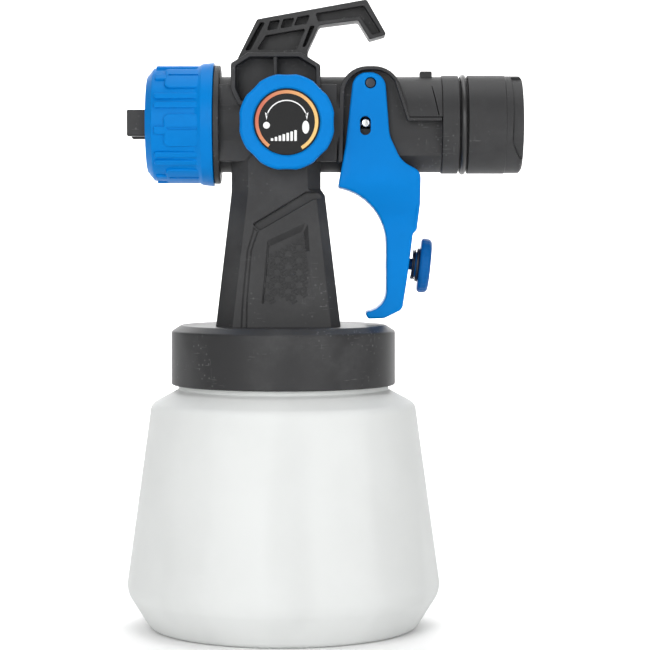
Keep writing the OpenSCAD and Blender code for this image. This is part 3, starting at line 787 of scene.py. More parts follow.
def frosted_plastic(name, base):
    """Milky plastic that lets soft light through."""
    finish = Finish(name, Transmission_Weight=0.16, IOR=1.25, Specular_IOR_Level=0.08)
    cloud = finish.noise(22.0, 4.0, 0.6)
    streak = finish.noise(30.0, 2.0, 0.5, finish.stretched((1.0, 1.0, 0.08)))
    share = finish.band(cloud, 0.35, 0.7) * 0.25 + finish.band(streak, 0.42, 0.62) * 0.4
    finish.feed("Base Color", finish.mix(share, base, darker(base, 0.86)))
    finish.feed("Roughness", 0.40 + cloud * 0.10 + grain(finish, 1500.0) * 0.05)
    finish.bump(grain(finish, 1500.0), 0.10, 0.00012)
    return finish.material


def plain_plastic(name, base, roughness=0.5):
    finish = Finish(name, Specular_IOR_Level=0.2)
    cloud = finish.noise(60.0)
    finish.feed("Base Color", finish.mix(cloud, base, darker(base, 0.9)))
    finish.feed("Roughness", roughness + cloud * 0.1)
    finish.bump(grain(finish, 1800.0), 0.1, 0.0001)
    return finish.material


def rubber(name, base=(0.012, 0.012, 0.012), roughness=0.3):
    """Black rubber with a slight sheen."""
    finish = Finish(name, Specular_IOR_Level=0.6)
    cloud = finish.noise(90.0)
    finish.feed("Base Color", finish.mix(cloud, base, [c * 1.7 for c in base]))
    finish.feed("Roughness", roughness + cloud * 0.12)
    finish.bump(grain(finish, 1400.0), 0.12, 0.0001)
    return finish.material


def metal(name, base, roughness=0.25):
    """Turned metal with fine tool marks."""
    finish = Finish(name, Metallic=1.0)
    marks = finish.noise(500.0, 2.0, 0.5, finish.stretched((9.0, 1.0, 1.0)))
    finish.feed("Base Color", finish.mix(marks, base, darker(base, 0.82)))
    finish.feed("Roughness", roughness + marks * 0.16)
    finish.bump(marks, 0.06, 0.00005)
    return finish.material


def dial_print(name, colours, sizes):
    """Print whose colour runs round the dial from its left end to its right end."""
    finish = Finish(name, Specular_IOR_Level=0.3)
    centred = finish.node("ShaderNodeMapping", {"vector_type": "POINT"}, {
        "Vector": finish.place, "Location": (-sizes.centre_x * MM, 0.0, -sizes.centre_z * MM),
    })
    parts = finish.node("ShaderNodeSeparateXYZ", None, {0: centred})
    across, up = parts, Value(finish, parts.socket.node.outputs["Z"])
    reach = sizes.scale_radius * MM
    share = 0.5 + (across / reach) * 0.42 - (up / reach) * 0.16
    first, last = colours.scale_start, colours.scale_end
    middle = [(a + b) / 2 * 1.05 for a, b in zip(first, last)]
    stops = [(0.0, first), (0.45, middle), (0.95, last)]
    ramp = finish.node("ShaderNodeValToRGB", {"stops": stops}, {0: share})
    finish.feed("Base Color", ramp)
    finish.feed("Roughness", 0.42 + finish.noise(300.0) * 0.1)
    return finish.material


FINISHES = {}


def finish_of(name):
    """The named finish, made when it is first asked for."""
    if name not in FINISHES:
        colours = bpy.context.scene.gun_colours
        maker, *values = {
            "black_plastic": (black_plastic, colours),
            "lid_plastic": (black_plastic, colours, 1.1, 0.42),
            "recess_plastic": (black_plastic, colours, 0.25, 0.5),
            "bright_blue_plastic": (blue_plastic, tuple(colours.bright_blue)),
            "deep_blue_plastic": (blue_plastic, tuple(colours.deep_blue), 0.28),
            "dial_black": (plain_plastic, (0.013, 0.013, 0.0135), 0.5),
            "dial_print": (dial_print, colours, sizes_of("wheel")),
            "dial_white": (plain_plastic, (0.85, 0.85, 0.85), 0.45),
            "frosted_plastic": (frosted_plastic, tuple(colours.frosted)),
            "natural_plastic": (plain_plastic, (0.72, 0.73, 0.71), 0.4),
            "rubber": (rubber,),
            "steel": (metal, (0.86, 0.87, 0.88), 0.2),
            "blackened_steel": (metal, (0.06, 0.062, 0.07), 0.35),
            "brass": (metal, (0.70, 0.50, 0.22)),
        }[name]
        FINISHES[name] = maker(name, *values)
    return FINISHES[name]


# ---------- operators ----------


class GUN_OT_shell(bpy.types.Operator):
    """Build the black shell: barrel, wheel housing, trigger ears and pillar"""

    bl_idname = "gun.shell"
    bl_label = "Shell"

    def execute(self, context):
        s = sizes_of("shell")
        t = sizes_of("trigger")
        w = sizes_of("wheel")
        z = s.axis_height
        axis = (0.0, z)
        e = s.edge
        lid_top = node_box("cup_lid")[1].z
        barrel = turned([
            (-42.5, 0), (-42.5, s.boss_radius, 0.5), (-26.2, s.boss_radius),
            (-26.2, s.flange_radius, 0.45), (-23.9, s.flange_radius, 0.55),
            (-23.9, s.barrel_radius, 0.3), (60.3, s.barrel_radius, 0.2),
            (60.3, 15.75), (80.0, 15.75, 0.4), (80.0, 0),
        ], "X", axis, 128)
        arch = rounded([
            (20.9, 178, 0), (21.6, 214.5, 10.5), (42, 214.5, 10.5), (49, 193.9, 0.6), (60.0, 193.9, 0),
            (60.0, 192, 0), (40, 186, 0),
        ], 8)
        hollow = rounded([
            (22.3, 150, 0), (22.6, 180, 0), (23.4, 213.2, 9.2), (40.9, 213.2, 9.2), (47.6, 195.2, 0.8),
            (60.2, 195.2, 0), (60.2, 150, 0),
        ], 8)
        yoke_room = pocket(hollow, -s.ear_half, -s.pocket_half, "Y", 0.3, 0.3)
        house = rounded([
            (-19.4, 205.4, 1.0), (-16.6, 199.6, 1.5), (11.5, 199.6, 1.5), (14.3, 205.4, 1.0),
            (14.3, 214.8, 1.2), (7.1, 219.4, 1.0), (-12.9, 219.4, 1.0), (-19.4, 215.4, 1.2),
        ])
        field = rounded([
            (-17.6, 206, 1), (-15.3, 201.2, 1), (10.2, 201.2, 1), (12.6, 206, 1), (12.6, 213.9, 1.2),
            (6.3, 217.8, 1), (-12.2, 217.8, 1), (-17.6, 214.5, 1.2),
        ])
        recess = pocket(field, -s.housing_half, -s.recess_floor, "Y", 0.35, 0.4)
        rib = box_outline(-3.4, -2.0, 200.5, 218.6, 0.2)
        rib = slab(rib, 0.8 - s.housing_half, 1.0 - s.recess_floor, "Y", 0.3)
        ridge = -1.1 - s.ear_half
        ear_rib = slab(rounded([
            (42.3, 208.6, 0), (47.1, 193.9, 0.5), (60.0, 193.9, 0), (60.0, 195.1, 0), (47.9, 195.1, 0.5),
            (43.4, 208.9, 0),
        ]), ridge, -13.0, "Y", 0.25)
        seam = [(56.2, 207.5), (56.55, 207.5), (59.05, 196), (58.7, 196)]
        seam = slab(seam, ridge, -11.6, "Y", 0)
        chamber = box_outline(27.2, 39.4, z - 4.5, z + 4.5, 0.4)
        pin_slot = box_outline(29.2, 36.7, z - 2.1, z + 2.1)
        wheel = (w.centre_x, w.centre_z)
        changes = (
            add(slab(arch, -s.ear_half, s.ear_half, "Y", e))
            + cut(*both_sides(yoke_room))
            + add(slab(box_outline(-24.2, 20.6, z - 14.5, z + 14.5, 0.8), -17, 17, "Y", e))
            + add(slab(house, -s.housing_half, s.housing_half, "Y", e))
            + cut(*both_sides(recess))
            + add(*both_sides(rib))
            + add(bar(14.5, -21.3, -s.recess_floor + 1, "Y", wheel, 0.4, 96))
            + add(self.pillar(s, lid_top))
            + add(slab(box_outline(52.2, 56.8, 209, 213.4, 0.6), -4, 4, "Y", 0.5))
            + add(*both_sides(ear_rib))
            + cut(*both_sides(seam))
            + cut(*self.face_cuts(s, lid_top))
            + add(bar(6.3, 102, lid_top + 2, "Z", (0, 0), 0.4))
            + cut(bar(s.air_way_radius, -30, 84, "X", axis, 0, 96))
            + cut(bar(15.5, -46, -28, "X", axis, 0, 96))
            + add(bar(s.core_radius, -36, 57.5, "X", axis, 0.4, 96))
            + add(slab(box_outline(-30, 56.8, z - 13, z + 13, 0.3), -1.6, 1.6, "Y", 0.3))
            + add(slab(chamber, -s.pocket_half, s.pocket_half, "Y", 0.3))
            + cut(
                bar(4.6, -40, -28, "X", axis), bar(3, -30, 9, "X", axis), bar(4.5, 8, 60, "X", axis),
                bar(3, 100, z - 2, "Z"), bar(5, 98, 113, "Z"),
                bar(2.05, -30, 30, "Y", (t.pivot_x, t.pivot_z)),
                slab(pin_slot, -30, 30, "Y", 0), bar(4, -24, 0, "Y", wheel),
            )
        )
        mesh = combine(barrel, *changes)
        piece("gun_shell", mesh, "gun", "black_plastic", stands_for=["gun_body"])
        self.grip(s, lid_top)
        return {"FINISHED"}

    @staticmethod
    def pillar(s, lid_top):
        """Tapering pillar with cut corners, from the lid up into the housing."""
        rings = []
        # height, front, rear, half depth, front corner cut, rear corner cut
        for z, x0, x1, d, a, b in (
            (lid_top, -25.2, 21.9, s.pillar_foot_half, 6.5, 3.6),
            (165.8, -19.6, 16.0, s.pillar_top_half + 0.27, 6.5, 3.4),
            (168.4, -19.4, 14.3, s.pillar_top_half + 0.1, 6.5, 4.8),
            (178.7, -19.4, 14.3, s.housing_half - 0.9, 6.5, 5.2),
            (181.5, -16.4, 13.6, s.housing_half - 0.9, 5.5, 4.8),
            (191.0, -14.0, 12.4, s.housing_half - 0.9, 4.5, 4.2),
        ):
            corners = [
                (x0 + a, -d), (x1 - b, -d), (x1, b - d), (x1, d - b), (x1 - b, d), (x0 + a, d),
                (x0, d - a), (x0, a - d),
            ]
            rings.append([(x, y, z) for x, y in rounded([c + (0.7,) for c in corners], 4)])
        return ruled(rings)

    @staticmethod
    def on_face(s, lid_top):
        """Function that places x, height z and rise h on the pillar's near face."""
        lean = math.atan((s.pillar_foot_half - s.pillar_top_half) / (168 - lid_top))
        out = Vector((0, -math.cos(lean), math.sin(lean)))
        up = Vector((0, math.sin(lean), math.cos(lean)))
        foot = Vector((0, -s.pillar_foot_half, lid_top))

        def place(x, z, h):
            return foot + Vector((x, 0, 0)) + up * (z - lid_top) / math.cos(lean) + out * h

        return place

    @staticmethod
    def dish_depth(z):
        """How deep the dished panel's floor lies at a height: flush at its foot."""
        foot, height, depth = 124.6, 28, 1.9
        return depth * (z - foot) / height

    def face_cuts(self, s, lid_top):
        """Cutters of the diagonal groove, the dished panel and the corner's crease."""
        place = self.on_face(s, lid_top)
        groove = rounded([(-11.2, 155.1, 0.4), (8.8, 167.2, 0), (20, 167.2, 0), (20, 165.6, 0),
                          (11.4, 164.4, 0), (-8.5, 152.9, 0.4)], 3)
        channel = ruled([[place(x, z, h) for x, z in inset(groove, i)]
                         for h, i in ((2.0, -0.25), (0.0, -0.25), (-0.3, 0.0), (-1.9, 0.15))])
        rim = rounded([
            (-5.7, 148.9, 1.2), (9.5, 156.0, 0.8), (10.3, 145.0, 4), (13.0, 124.6, 0.5),
            (-7.9, 124.6, 0.5),
        ], 5)
        floor = rounded([
            (-4.9, 146.9, 0.8), (7.9, 152.7, 0.6), (8.7, 145.0, 3), (10.4, 124.9, 0.4),
            (-6.8, 124.9, 0.4),
        ], 5)
        dished = ruled([
            [place(x, z, 1.5) for x, z in rim],
            [place(x, z, 0.03) for x, z in rim],
            [place(x, z, -self.dish_depth(z)) for x, z in floor],
        ])
        step = rounded([(-13.2, 116, 0), (-13.0, 126.5, 0), (-11.5, 145, 3), (-8.9, 152.6, 0),
                        (-10.8, 154.0, 0), (-13.4, 145, 3), (-15.1, 126.5, 0), (-15.6, 116, 0)], 4)
        crease = ruled([[place(x, z, h) for x, z in inset(step, i)]
                        for h, i in ((1.5, -0.1), (0.0, -0.1), (-0.6, 0.6))])
        return both_sides(channel, dished, crease)

    def grip(self, s, lid_top):
        """Field of three-armed ridge marks on the floor of the dished panel."""
        place = self.on_face(s, lid_top)
        first_x, first_z = -4.6, 127.6
        points = []
        for column in range(5):
            for row in range(7):
                x = first_x + column * s.mark_pitch * math.sqrt(3) / 2
                z = first_z + (row + (column % 2) / 2) * s.mark_pitch
                under_top = z < 145.2 + (x + 4.9) * 0.46
                before_rear = x < 9.8 - (z - 125) * 0.07
                if under_top and before_rear:
                    points.append((x, z, 0.0))
        lattice = bpy.data.meshes.new("lattice")
        lattice.from_pydata(points, [], [])
        marks = grip_tree().run(
            lattice, Ridge_length=2.2, Ridge_width=0.5, Ridge_height=2 * s.ridge_height,
            Ridge_pitch=s.ridge_pitch, Arm_reach=0.85, Material=finish_of("recess_plastic"),
        )
        for vertex in marks.vertices:
            x, z, h = vertex.co
            vertex.co = place(x, z, h - self.dish_depth(z))
        marks.update()
        mesh = joined(both_sides(marks))
        piece("grip_marks", mesh, "gun", "black_plastic", "recess_plastic", ())


class GUN_OT_hook(bpy.types.Operator):
    """Build the hanging hook with its open cells"""

    bl_idname = "gun.hook"
    bl_label = "Hanging hook"

    def execute(self, context):
        half = node_box("hanging_hook")[1].y
        floor = half - 4.5
        outline = rounded([
            (-18.1, 216.3, 0), (-9.8, 232.9, 1.4), (31.8, 240.4, 1.2), (39.4, 227, 0.7),
            (32.9, 225.2, 0.7), (28.5, 232.4, 1.0), (13.9, 230.6, 1.5), (9.4, 221, 1.2),
            (9.4, 217.99, 0), (7.1, 219.45, 0), (-12.9, 219.45, 0),
        ], 5)
        cells = [
            [(12.4, 235.0, 0.6), (30.8, 238.0, 0.7), (37.3, 227.7, 0.6), (34, 226.9, 0.6),
             (29.2, 233.9, 0.9), (13.4, 232.0, 0.6)],
            [(-4.9, 232.0, 0.4), (-1.0, 232.6, 0.4), (-2.4, 229.2, 0.4), (-6.0, 228.6, 0.4)],
            [(0.3, 232.8, 0.4), (4.4, 233.4, 0.4), (3.1, 230.1, 0.4), (-1.0, 229.4, 0.4)],
            [(5.6, 233.6, 0.4), (10.3, 234.5, 0.4), (8.9, 231.2, 0.4), (4.2, 230.4, 0.4)],
            [(-6.5, 226.6, 0.5), (8.7, 229.3, 0.5), (5.0, 221.3, 0.5), (-9.9, 221.3, 0.5)],
            [(10.4, 230.2, 0.4), (12.2, 230.4, 0.4), (8.8, 222.9, 0.4), (7.0, 221.4, 0.4)],
            [(-8.6, 231.6, 0.45), (-6.8, 231.6, 0.45), (-12.3, 221.4, 0.45), (-14.6, 220.6, 0.45)],
        ]
        near = [pocket(rounded(cell, 4), -half, -floor, "Y", 0.25, 0.3) for cell in cells]
        changes = cut(*both_sides(*near))
        changes += add(*[bar(2, 210.4, 221, "Z", (x, 0), 0.3, 32) for x in (-10, 3)])
        mesh = combine(slab(outline, -half, half, "Y", 0.4), *changes)
        piece("hanging_hook", mesh, "gun", "black_plastic")
        return {"FINISHED"}


class GUN_OT_inlet(bpy.types.Operator):
    """Build the air inlet sleeve and its O-ring"""

    bl_idname = "gun.inlet"
    bl_label = "Air inlet"

    def execute(self, context):
        s = sizes_of("inlet")
        z = sizes_of("shell").axis_height
        axis = (0.0, z)
        r, rear = s.sleeve_radius, node_box("inlet_sleeve")[1].x
        near, far = s.ring_place - 1.75, s.ring_place + 1.75
        mesh = turned([
            (60.35, s.bore_radius), (60.35, r, 0.35), (near, r, 0.25), (near, s.groove_floor, 0.15),
            (far, s.groove_floor, 0.15), (far, r, 0.25), (84.3, r, 0.15), (84.6, r - 0.25, 0.15),
            (rear - 0.9, r - 0.25, 0.8), (rear, r - 1.4, 0.5), (rear, s.bore_radius, 0.4),
        ], "X", axis, 160, 5)
        half_turn = math.pi * r
        # bayonet recess: place along the barrel, angle, corner radius
        run = [
            (86.7, 1.30, 0.6), (86.7, -0.42, 5), (89.4, -0.80, 4), (rear + 1, -0.92, 0),
            (rear + 1, 1.30, 0),
        ]

        for start in (0.0, half_turn):
            outline = rounded([(x, turn * r, corner) for x, turn, corner in run], 8)

            def place(u, v, level):
                turn = (v + start) / r
                return u, -level * math.cos(turn), z + level * math.sin(turn)

            mesh = combine(mesh, *cut(panel(outline, [(r - 1.2, 0.0), (r + 1.5, 0.0)], place, 0.8)))
        piece("inlet_sleeve", mesh, "gun", "black_plastic")
        ring_radius = s.groove_floor + 0.05 + s.ring_wire
        ring = turned(round_outline(s.ring_place, ring_radius, s.ring_wire, 24), "X", axis, 160)
        piece("inlet_oring", ring, "gun", "rubber")
        return {"FINISHED"}


class GUN_OT_union_nut(bpy.types.Operator):
    """Build the union nut with its grip pads and ribs"""

    bl_idname = "gun.union_nut"
    bl_label = "Union nut"

    def execute(self, context):
        s = sizes_of("nozzle")
        z = sizes_of("shell").axis_height
        r, flange = s.nut_radius, s.nut_flange_radius
        base = r - s.pad_rise
        low, high = node_box("union_nut")
        front, rear = low.x, high.x
        wall = turned([
            (front, 15.4, 0.3), (front, r - 4.2, 0.5), (front + 2.6, base - 0.1, 0.8),
            (rear - 6.6, base + 0.35, 2.0), (rear - 4.4, flange - 0.5, 1.2), (rear, flange, 0.35),
            (rear, 19.7), (-48.2, 19.7), (-48.2, 15.4),
        ], "X", (0.0, z), 180, 5)

        def grip(x0, x1, middle, width, top, corner):
            """Raised patch on the nut's wall; its middle and width are degrees round the wall."""
            v0, v1 = (math.radians(middle + k * width / 2) * r for k in (-1, 1))
            outline = box_outline(x0, x1, v0, v1, corner)
            stations = [(base - 0.6, 0.0)] + rounding(top, -1, 0.4)[::-1]

            def place(u, v, level):
                return u, -level * math.cos(v / r), level * math.sin(v / r)

            return panel(outline, stations, place, 0.9)

        def repeated(part):
            return round_array(part, s.pads, (1, 0, 0), (0, 0, z), finish_of("bright_blue_plastic"))

        changes = add(*[repeated(part) for part in (
            grip(-44.5, -30.8, -8, 32, r, 2.2),
            grip(-48.2, -43.5, -8, 8, r - 0.15, 0.6),
            grip(-48.3, -31.4, 17.2, 6.4, r - 0.05, 0.9),
            grip(-48.3, -31.4, 26.8, 6.4, r - 0.05, 0.9),
        )])
        slot_depth = 0.45
        slot = grip(-43.2, -31.8, -6, 3.0, r + OVER, 0.5)
        for vertex in slot.vertices:
            radius = math.hypot(vertex.co.y, vertex.co.z)
            if radius < r:
                vertex.co.yz *= (r - slot_depth) / radius
        changes += cut(repeated(slot))
        piece("union_nut", combine(wall, *changes), "union_nut", "bright_blue_plastic")
        return {"FINISHED"}


class GUN_OT_air_cap(bpy.types.Operator):
    """Build the air cap with its horns, and the brass fluid nozzle"""

    bl_idname = "gun.air_cap"
    bl_label = "Air cap and nozzle"

    def execute(self, context):
        s = sizes_of("nozzle")
        z = sizes_of("shell").axis_height
        front = node_box("air_cap")[0].x
        hub = turned([
            (-51.5, 0), (-51.5, 15.1, 0.9), (-47.4, 15.1), (-47.4, 18.6, 0.3), (-45, 18.6, 0.3), (-45, 13),
            (-49.5, 11), (-49.5, 0),
        ], "X", (0, 0), 128)
        tall = s.horn_half_height
        horn = slab(box_outline(-14.2, -8.4, -tall, tall, 0.7), front, -49.7, "X", 0.6)
        vent = bar(0.8, -54, -48, "X", (5.4, 0), 0, 24)
        slanted = moved(bar(0.7, -3, 3, "Y", (0, 0), 0, 20), Matrix.Translation((-55.6, -9, 0)))
        ports = [moved(slanted.copy(), Matrix.Translation((0, 0, k))) for k in (-2, 2)]
        changes = add(*both_sides(horn)) + cut(bar(3, -54, -48, "X", (0, 0), 0, 64))
        moved(vent, Matrix.Rotation(math.radians(45), 4, "X"))
        changes += cut(round_array(vent, 4, (1, 0, 0), (0, 0, 0), finish_of("black_plastic")))
        changes += cut(*both_sides(*ports))
        mesh = combine(hub, *changes)
        moved(mesh, Matrix.Translation((0, 0, z)) @ Matrix.Rotation(s.cap_turn, 4, "X"))
        piece("air_cap", mesh, "air_cap", "black_plastic")
        nozzle = turned([
            (-51.6, 0.95), (-51.6, 2.1, 0.2), (-50, 2.3, 0.2), (-45.5, 5.6, 0.3), (-45, 5.9, 0.2),
            (-41.4, 5.9, 0), (-41.4, 4.5), (-28.4, 4.5, 0.2), (-28.4, 2.4), (-46.5, 2.4), (-50.6, 0.95),
        ], "X", (0, z), 96)
        flats = slab(hexagon(7.4, z), -41.5, -37.1, "X", 0.3)
        flats = combine(flats, *cut(bar(4.0, -44, -35, "X", (0, z))))
        nozzle = combine(nozzle, *add(flats))
        piece("fluid_nozzle", nozzle, "gun", "brass")
        return {"FINISHED"}


class GUN_OT_wheel(bpy.types.Operator):
    """Build the jog wheel, its dial and the dial's marks"""

    bl_idname = "gun.wheel"
    bl_label = "Jog wheel"

    def execute(self, context):
        s = sizes_of("wheel")
        centre = (s.centre_x, s.centre_z)
        low, high = node_box("jog_wheel")
        front, rear = low.y, high.y
        d = s.dial_radius
        reach = 60.0
        cutter = reach - s.radius + s.hollow_depth

        def lobed(turn, along, radius):
            """Radius with the rim's hollows, which round cutters far from the axis leave."""
            off = (turn + math.pi / s.hollows) % (2 * math.pi / s.hollows) - math.pi / s.hollows
            side = reach * math.sin(off)
            if abs(side) >= cutter or radius < d + 1.2:
                return radius
            rim = min(s.radius, reach * math.cos(off) - math.sqrt(cutter ** 2 - side ** 2))
            share = (radius - d - 1.2) / (s.radius - d - 1.2)
            return radius - (s.radius - rim) * min(1, share)

        wheel = turned([
            (rear, 4.05), (rear, s.radius, 1.1), (front, s.radius, 1.5), (front, d + 0.7, 0.35),
            (front + 0.8, d + 0.1, 0.2), (front + 1.5, d + 0.1), (front + 1.5, 3.6), (-26.9, 3.6),
            (-26.9, 1.6), (-25.1, 1.6), (-25.1, 4.05),
        ], "Y", centre, 288, 6, lobed)
        piece("jog_wheel", wheel, "jog_wheel", "bright_blue_plastic")
        face = node_box("dial_plate")[0].y
        back = face + 0.65
        plate = turned([(face, 0), (face, d, 0.2), (back, d), (back, 0)], "Y", centre, 128)
        piece("dial_plate", plate, "jog_wheel", "black_plastic", "dial_black")
        self.scale(s, centre, face)
        self.marks(centre, face)
        return {"FINISHED"}

    @staticmethod
    def arc(centre, radius, width, first, last, steps=96, taper=0.0):
        """Outline of a band that runs round a centre between two angles in degrees."""

        def at(r, share):
            t = math.radians(first + (last - first) * share)
            return centre[0] + r * math.cos(t), centre[1] + r * math.sin(t)

        shares = [i / steps for i in range(steps + 1)]
        outer = [at(radius + width / 2, taper + x * (1 - 2 * taper)) for x in shares]
        inner = [at(radius - width / 2, x) for x in reversed(shares)]
        return outer + inner

    @staticmethod
    def printed(outline, face):
        """Thin raised print on the dial's face."""
        return slab(outline, face - 0.07, face + 0.05, "Y", 0.03)

    def scale(self, s, centre, face):
        band = self.arc(centre, s.scale_radius, s.scale_width, -60.3, 233.6)
        mesh = self.printed(band, face)
        piece("dial_scale", mesh, "jog_wheel", "dial_print", stands_for=())

    def marks(self, centre, face):
        """Arrow arc, round and oval spray symbols, and seven growing bars."""
        x, z = centre
        outlines = [self.arc((x, z + 0.3), 7.6, 0.42, 14, 166, 64)]
        arrow = ((7.5, 0.7), (8.05, 3.5), (7.45, 3.1), (6.8, 3.3))
        outlines.append([(x - dx, z + dz) for dx, dz in reversed(arrow)])
        outlines.append([(x + dx, z + dz) for dx, dz in arrow])
        outlines.append(round_outline(x - 7.5, z - 1.3, 1.25, 32))
        outlines.append(round_outline(x + 7.05, z - 2.0, 1.3, 40, 1.85))
        for i in range(7):
            left = x - 5.9 + i * 1.45
            outlines.append(box_outline(left, left + 0.95, z - 7.1, z - 6.1 + i * 0.5, 0.2))
        mesh = joined([self.printed(outline, face) for outline in outlines])
        piece("dial_marks", mesh, "jog_wheel", "dial_print", "dial_white", ())


def knob_place(s):
    """Turns the Z axis into the flow knob's axis and moves it to the knob's seat."""
    turn = Matrix.Rotation(math.pi / 2 + s.knob_tilt, 4, "Y")
    return Matrix.Translation((s.knob_x, 0, s.knob_z)) @ turn


class GUN_OT_trigger(bpy.types.Operator):
    """Build the trigger with its yoke, and the pivot and needle pins"""

    bl_idname = "gun.trigger"
    bl_label = "Trigger"

    def execute(self, context):
        s = sizes_of("trigger")
        z = sizes_of("shell").axis_height
        side = rounded([
            (20.9, 169.1, 0.95), (23.7, 184.5, 60), (26.8, 212.2, 5.7), (38.5, 212.2, 5.9),
            (40.3, 188.5, 12), (44.8, 178.8, 10), (52.1, 175.0, 4.2), (52.1, 163, 2), (51, 153, 1.7),
            (49.5, 151.4, 1.7), (47.4, 134.8, 0), (45.5, 122.6, 3), (38.6, 119.2, 4),
            (32.4, 119, 1.2), (31.1, 121.6, 1.0), (39.4, 122.9, 8), (39.4, 164.6, 22),
        ], 12)
        front = rounded([
            (s.yoke_half, 213, 0), (s.yoke_half, 171, 12), (s.finger_half, 157, 12),
            (s.finger_half - 0.4, 117, 0), (0, 117, 0), (0, 213, 0),
        ], 10)[:-2]
        heights = [p[1] for p in reversed(front)]
        halves = [p[0] for p in reversed(front)]

        def place(u, v, level):
            way, back = level
            return u, way * (float(np.interp(v, heights, halves)) - back), v

        edge = rounding(0.0, 1, s.edge, 5)
        stations = [((-1, back), i) for back, i in edge]
        stations += [((1, back), i) for back, i in reversed(edge)]
        blank = panel(side, stations, place, 1.6)
        room = [(10, 173.2), (33, 173.2), (53, 169.7), (70, 169.7), (70, 230), (10, 230)]
        slot = [(29.2, 188.6, 1.95), (33.2, 188.6, 1.95), (33.2, 195.7, 1.95), (29.2, 195.7, 1.95)]
        slot_near = pocket(rounded(slot, 8), -s.yoke_half, -10, "Y", 0.25, 0)
        pivot = pocket(round_outline(s.pivot_x, s.pivot_z, 2.1), -s.yoke_half, -10, "Y", 0.3, 0)
        mesh = combine(blank, *cut(
            slab(room, -s.yoke_gap, s.yoke_gap, "Y", 0), *both_sides(slot_near),
            *both_sides(pivot), moved(bar(3.65, -9, 6, "Z"), knob_place(s)),
        ))
        piece("trigger", mesh, "trigger", "bright_blue_plastic", sharp=40)
        end = s.yoke_half - 0.9
        pin = bar(2, -end, end, "Y", (s.pivot_x, s.pivot_z), 0.4)
        piece("pivot_pin", pin, "gun", "steel", "blackened_steel")
        half = node_box("needle_pin")[1].y
        cross = bar(1.49, -half, half, "Y", (31.3, z), 0.35)
        piece("needle_pin", cross, "needle", "steel")
        return {"FINISHED"}


class GUN_OT_knob(bpy.types.Operator):
    """Build the flow knob, its washer and its spring"""

    bl_idname = "gun.knob"
    bl_label = "Flow knob"

    def execute(self, context):
        s = sizes_of("trigger")
        place = knob_place(s)
        r = s.knob_radius

        def fluted(turn, along, radius):
            """Radius with 24 shallow flutes round the head's edge."""
            return radius - 0.1 * max(0.0, math.cos(turn * 24)) ** 2 * (radius > r - 0.6)

        head = turned([
            (-8, 0), (-8, 1.6), (-7.4, 2.2), (1.2, 2.2), (1.2, 4.85, 0.3), (3.7, 4.85, 0.3),
            (3.7, r - 0.4, 1.3), (4.9, r, 0.6), (7.9, r - 0.3, 1.7), (7.9, 7.2, 0.8), (7.5, 6.4, 0.8),
            (7.5, 0),
        ], "Z", (0, 0), 192, 5, fluted)
        piece("flow_knob", moved(head, place), "flow_knob", "deep_blue_plastic")
        washer = [(2.6, 4.95), (2.6, 6.4, 0.25), (3.6, 6.4, 0.25), (3.6, 4.95)]
        washer = turned(washer, "Z", (0, 0), 96)
        piece("knob_washer", moved(washer, place), "knob_washer", "steel", "blackened_steel")
        wire, near, far = 0.24, 0.75, 2.45
        spring = coil_tree().run(
            Wire_radius=wire, Coil_radius=5.5, Length=1.22, Turns=2.0,
            Place=tuple(place @ Vector((0, 0, near + wire))),
            Turn=(0.0, math.pi / 2 + s.knob_tilt, 0.0), Material=finish_of("blackened_steel"),
        )
        made = piece("knob_spring", spring, None, "steel", "blackened_steel", sharp=60)
        ends = [place @ Vector((0, 0, k)) * MM for k in (near, far)]
        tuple(ends[0])
        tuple(ends[1])
        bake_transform(made)
        return {"FINISHED"}


class GUN_OT_needle_spring(bpy.types.Operator):
    """Build the spring that closes the fluid needle, and the brass cap behind it"""

    bl_idname = "gun.needle_spring"
    bl_label = "Needle spring and cap"

    def execute(self, context):
        z = sizes_of("shell").axis_height
        low, high = node_box("needle_spring")
        wire = 0.5
        spring = coil_tree().run(
            Wire_radius=wire, Coil_radius=3.1, Length=high.x - low.x - 2 * wire, Turns=7.0,
            Place=(low.x + wire, 0.0, z), Turn=(0.0, math.pi / 2, 0.0), Material=finish_of("steel"),
        )
        made = piece("needle_spring", spring, None, "steel", sharp=60)
        Vector((high.x, 0, z)) * MM
        Vector((low.x, 0, z)) * MM
        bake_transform(made)
        cap = combine(
            bar(4.45, 53, 58, "X", (0, z), 0.2),
            *add(slab(hexagon(6.6, z), 57.55, 59.95, "X", 0.35)),
            *cut(bar(1.7, 50, 58.6, "X", (0, z))),
        )
        piece("spring_cap", cap, "gun", "brass")
        return {"FINISHED"}


class GUN_OT_lid(bpy.types.Operator):
    """Build the screw lid"""

    bl_idname = "gun.lid"
    bl_label = "Lid"

    def execute(self, context):
        s = sizes_of("cup")
        low, high = node_box("cup_lid")
        r, inner = s.lid_radius, 40.8
        lid = turned([
            (high.z, 0), (high.z, r - 3.6, 1.0), (high.z - 2.3, r - 0.02, 1.2), (low.z, r, 0.6),
            (low.z, inner, 0.3), (112, inner, 1.0), (112, 0),
        ], "Z", (0, 0), 192, 5)
        holes = [bar(6.35, 108, 120, "Z"), bar(2.95, 108, 120, "Z", (11.2, 0))]
        holes += [bar(1.55, 108, 120, "Z", (x, y)) for x in (-15.6, 12.4) for y in (-15, 15)]
        piece("cup_lid", combine(lid, *cut(*holes)), "gun", "black_plastic", "lid_plastic")
        return {"FINISHED"}


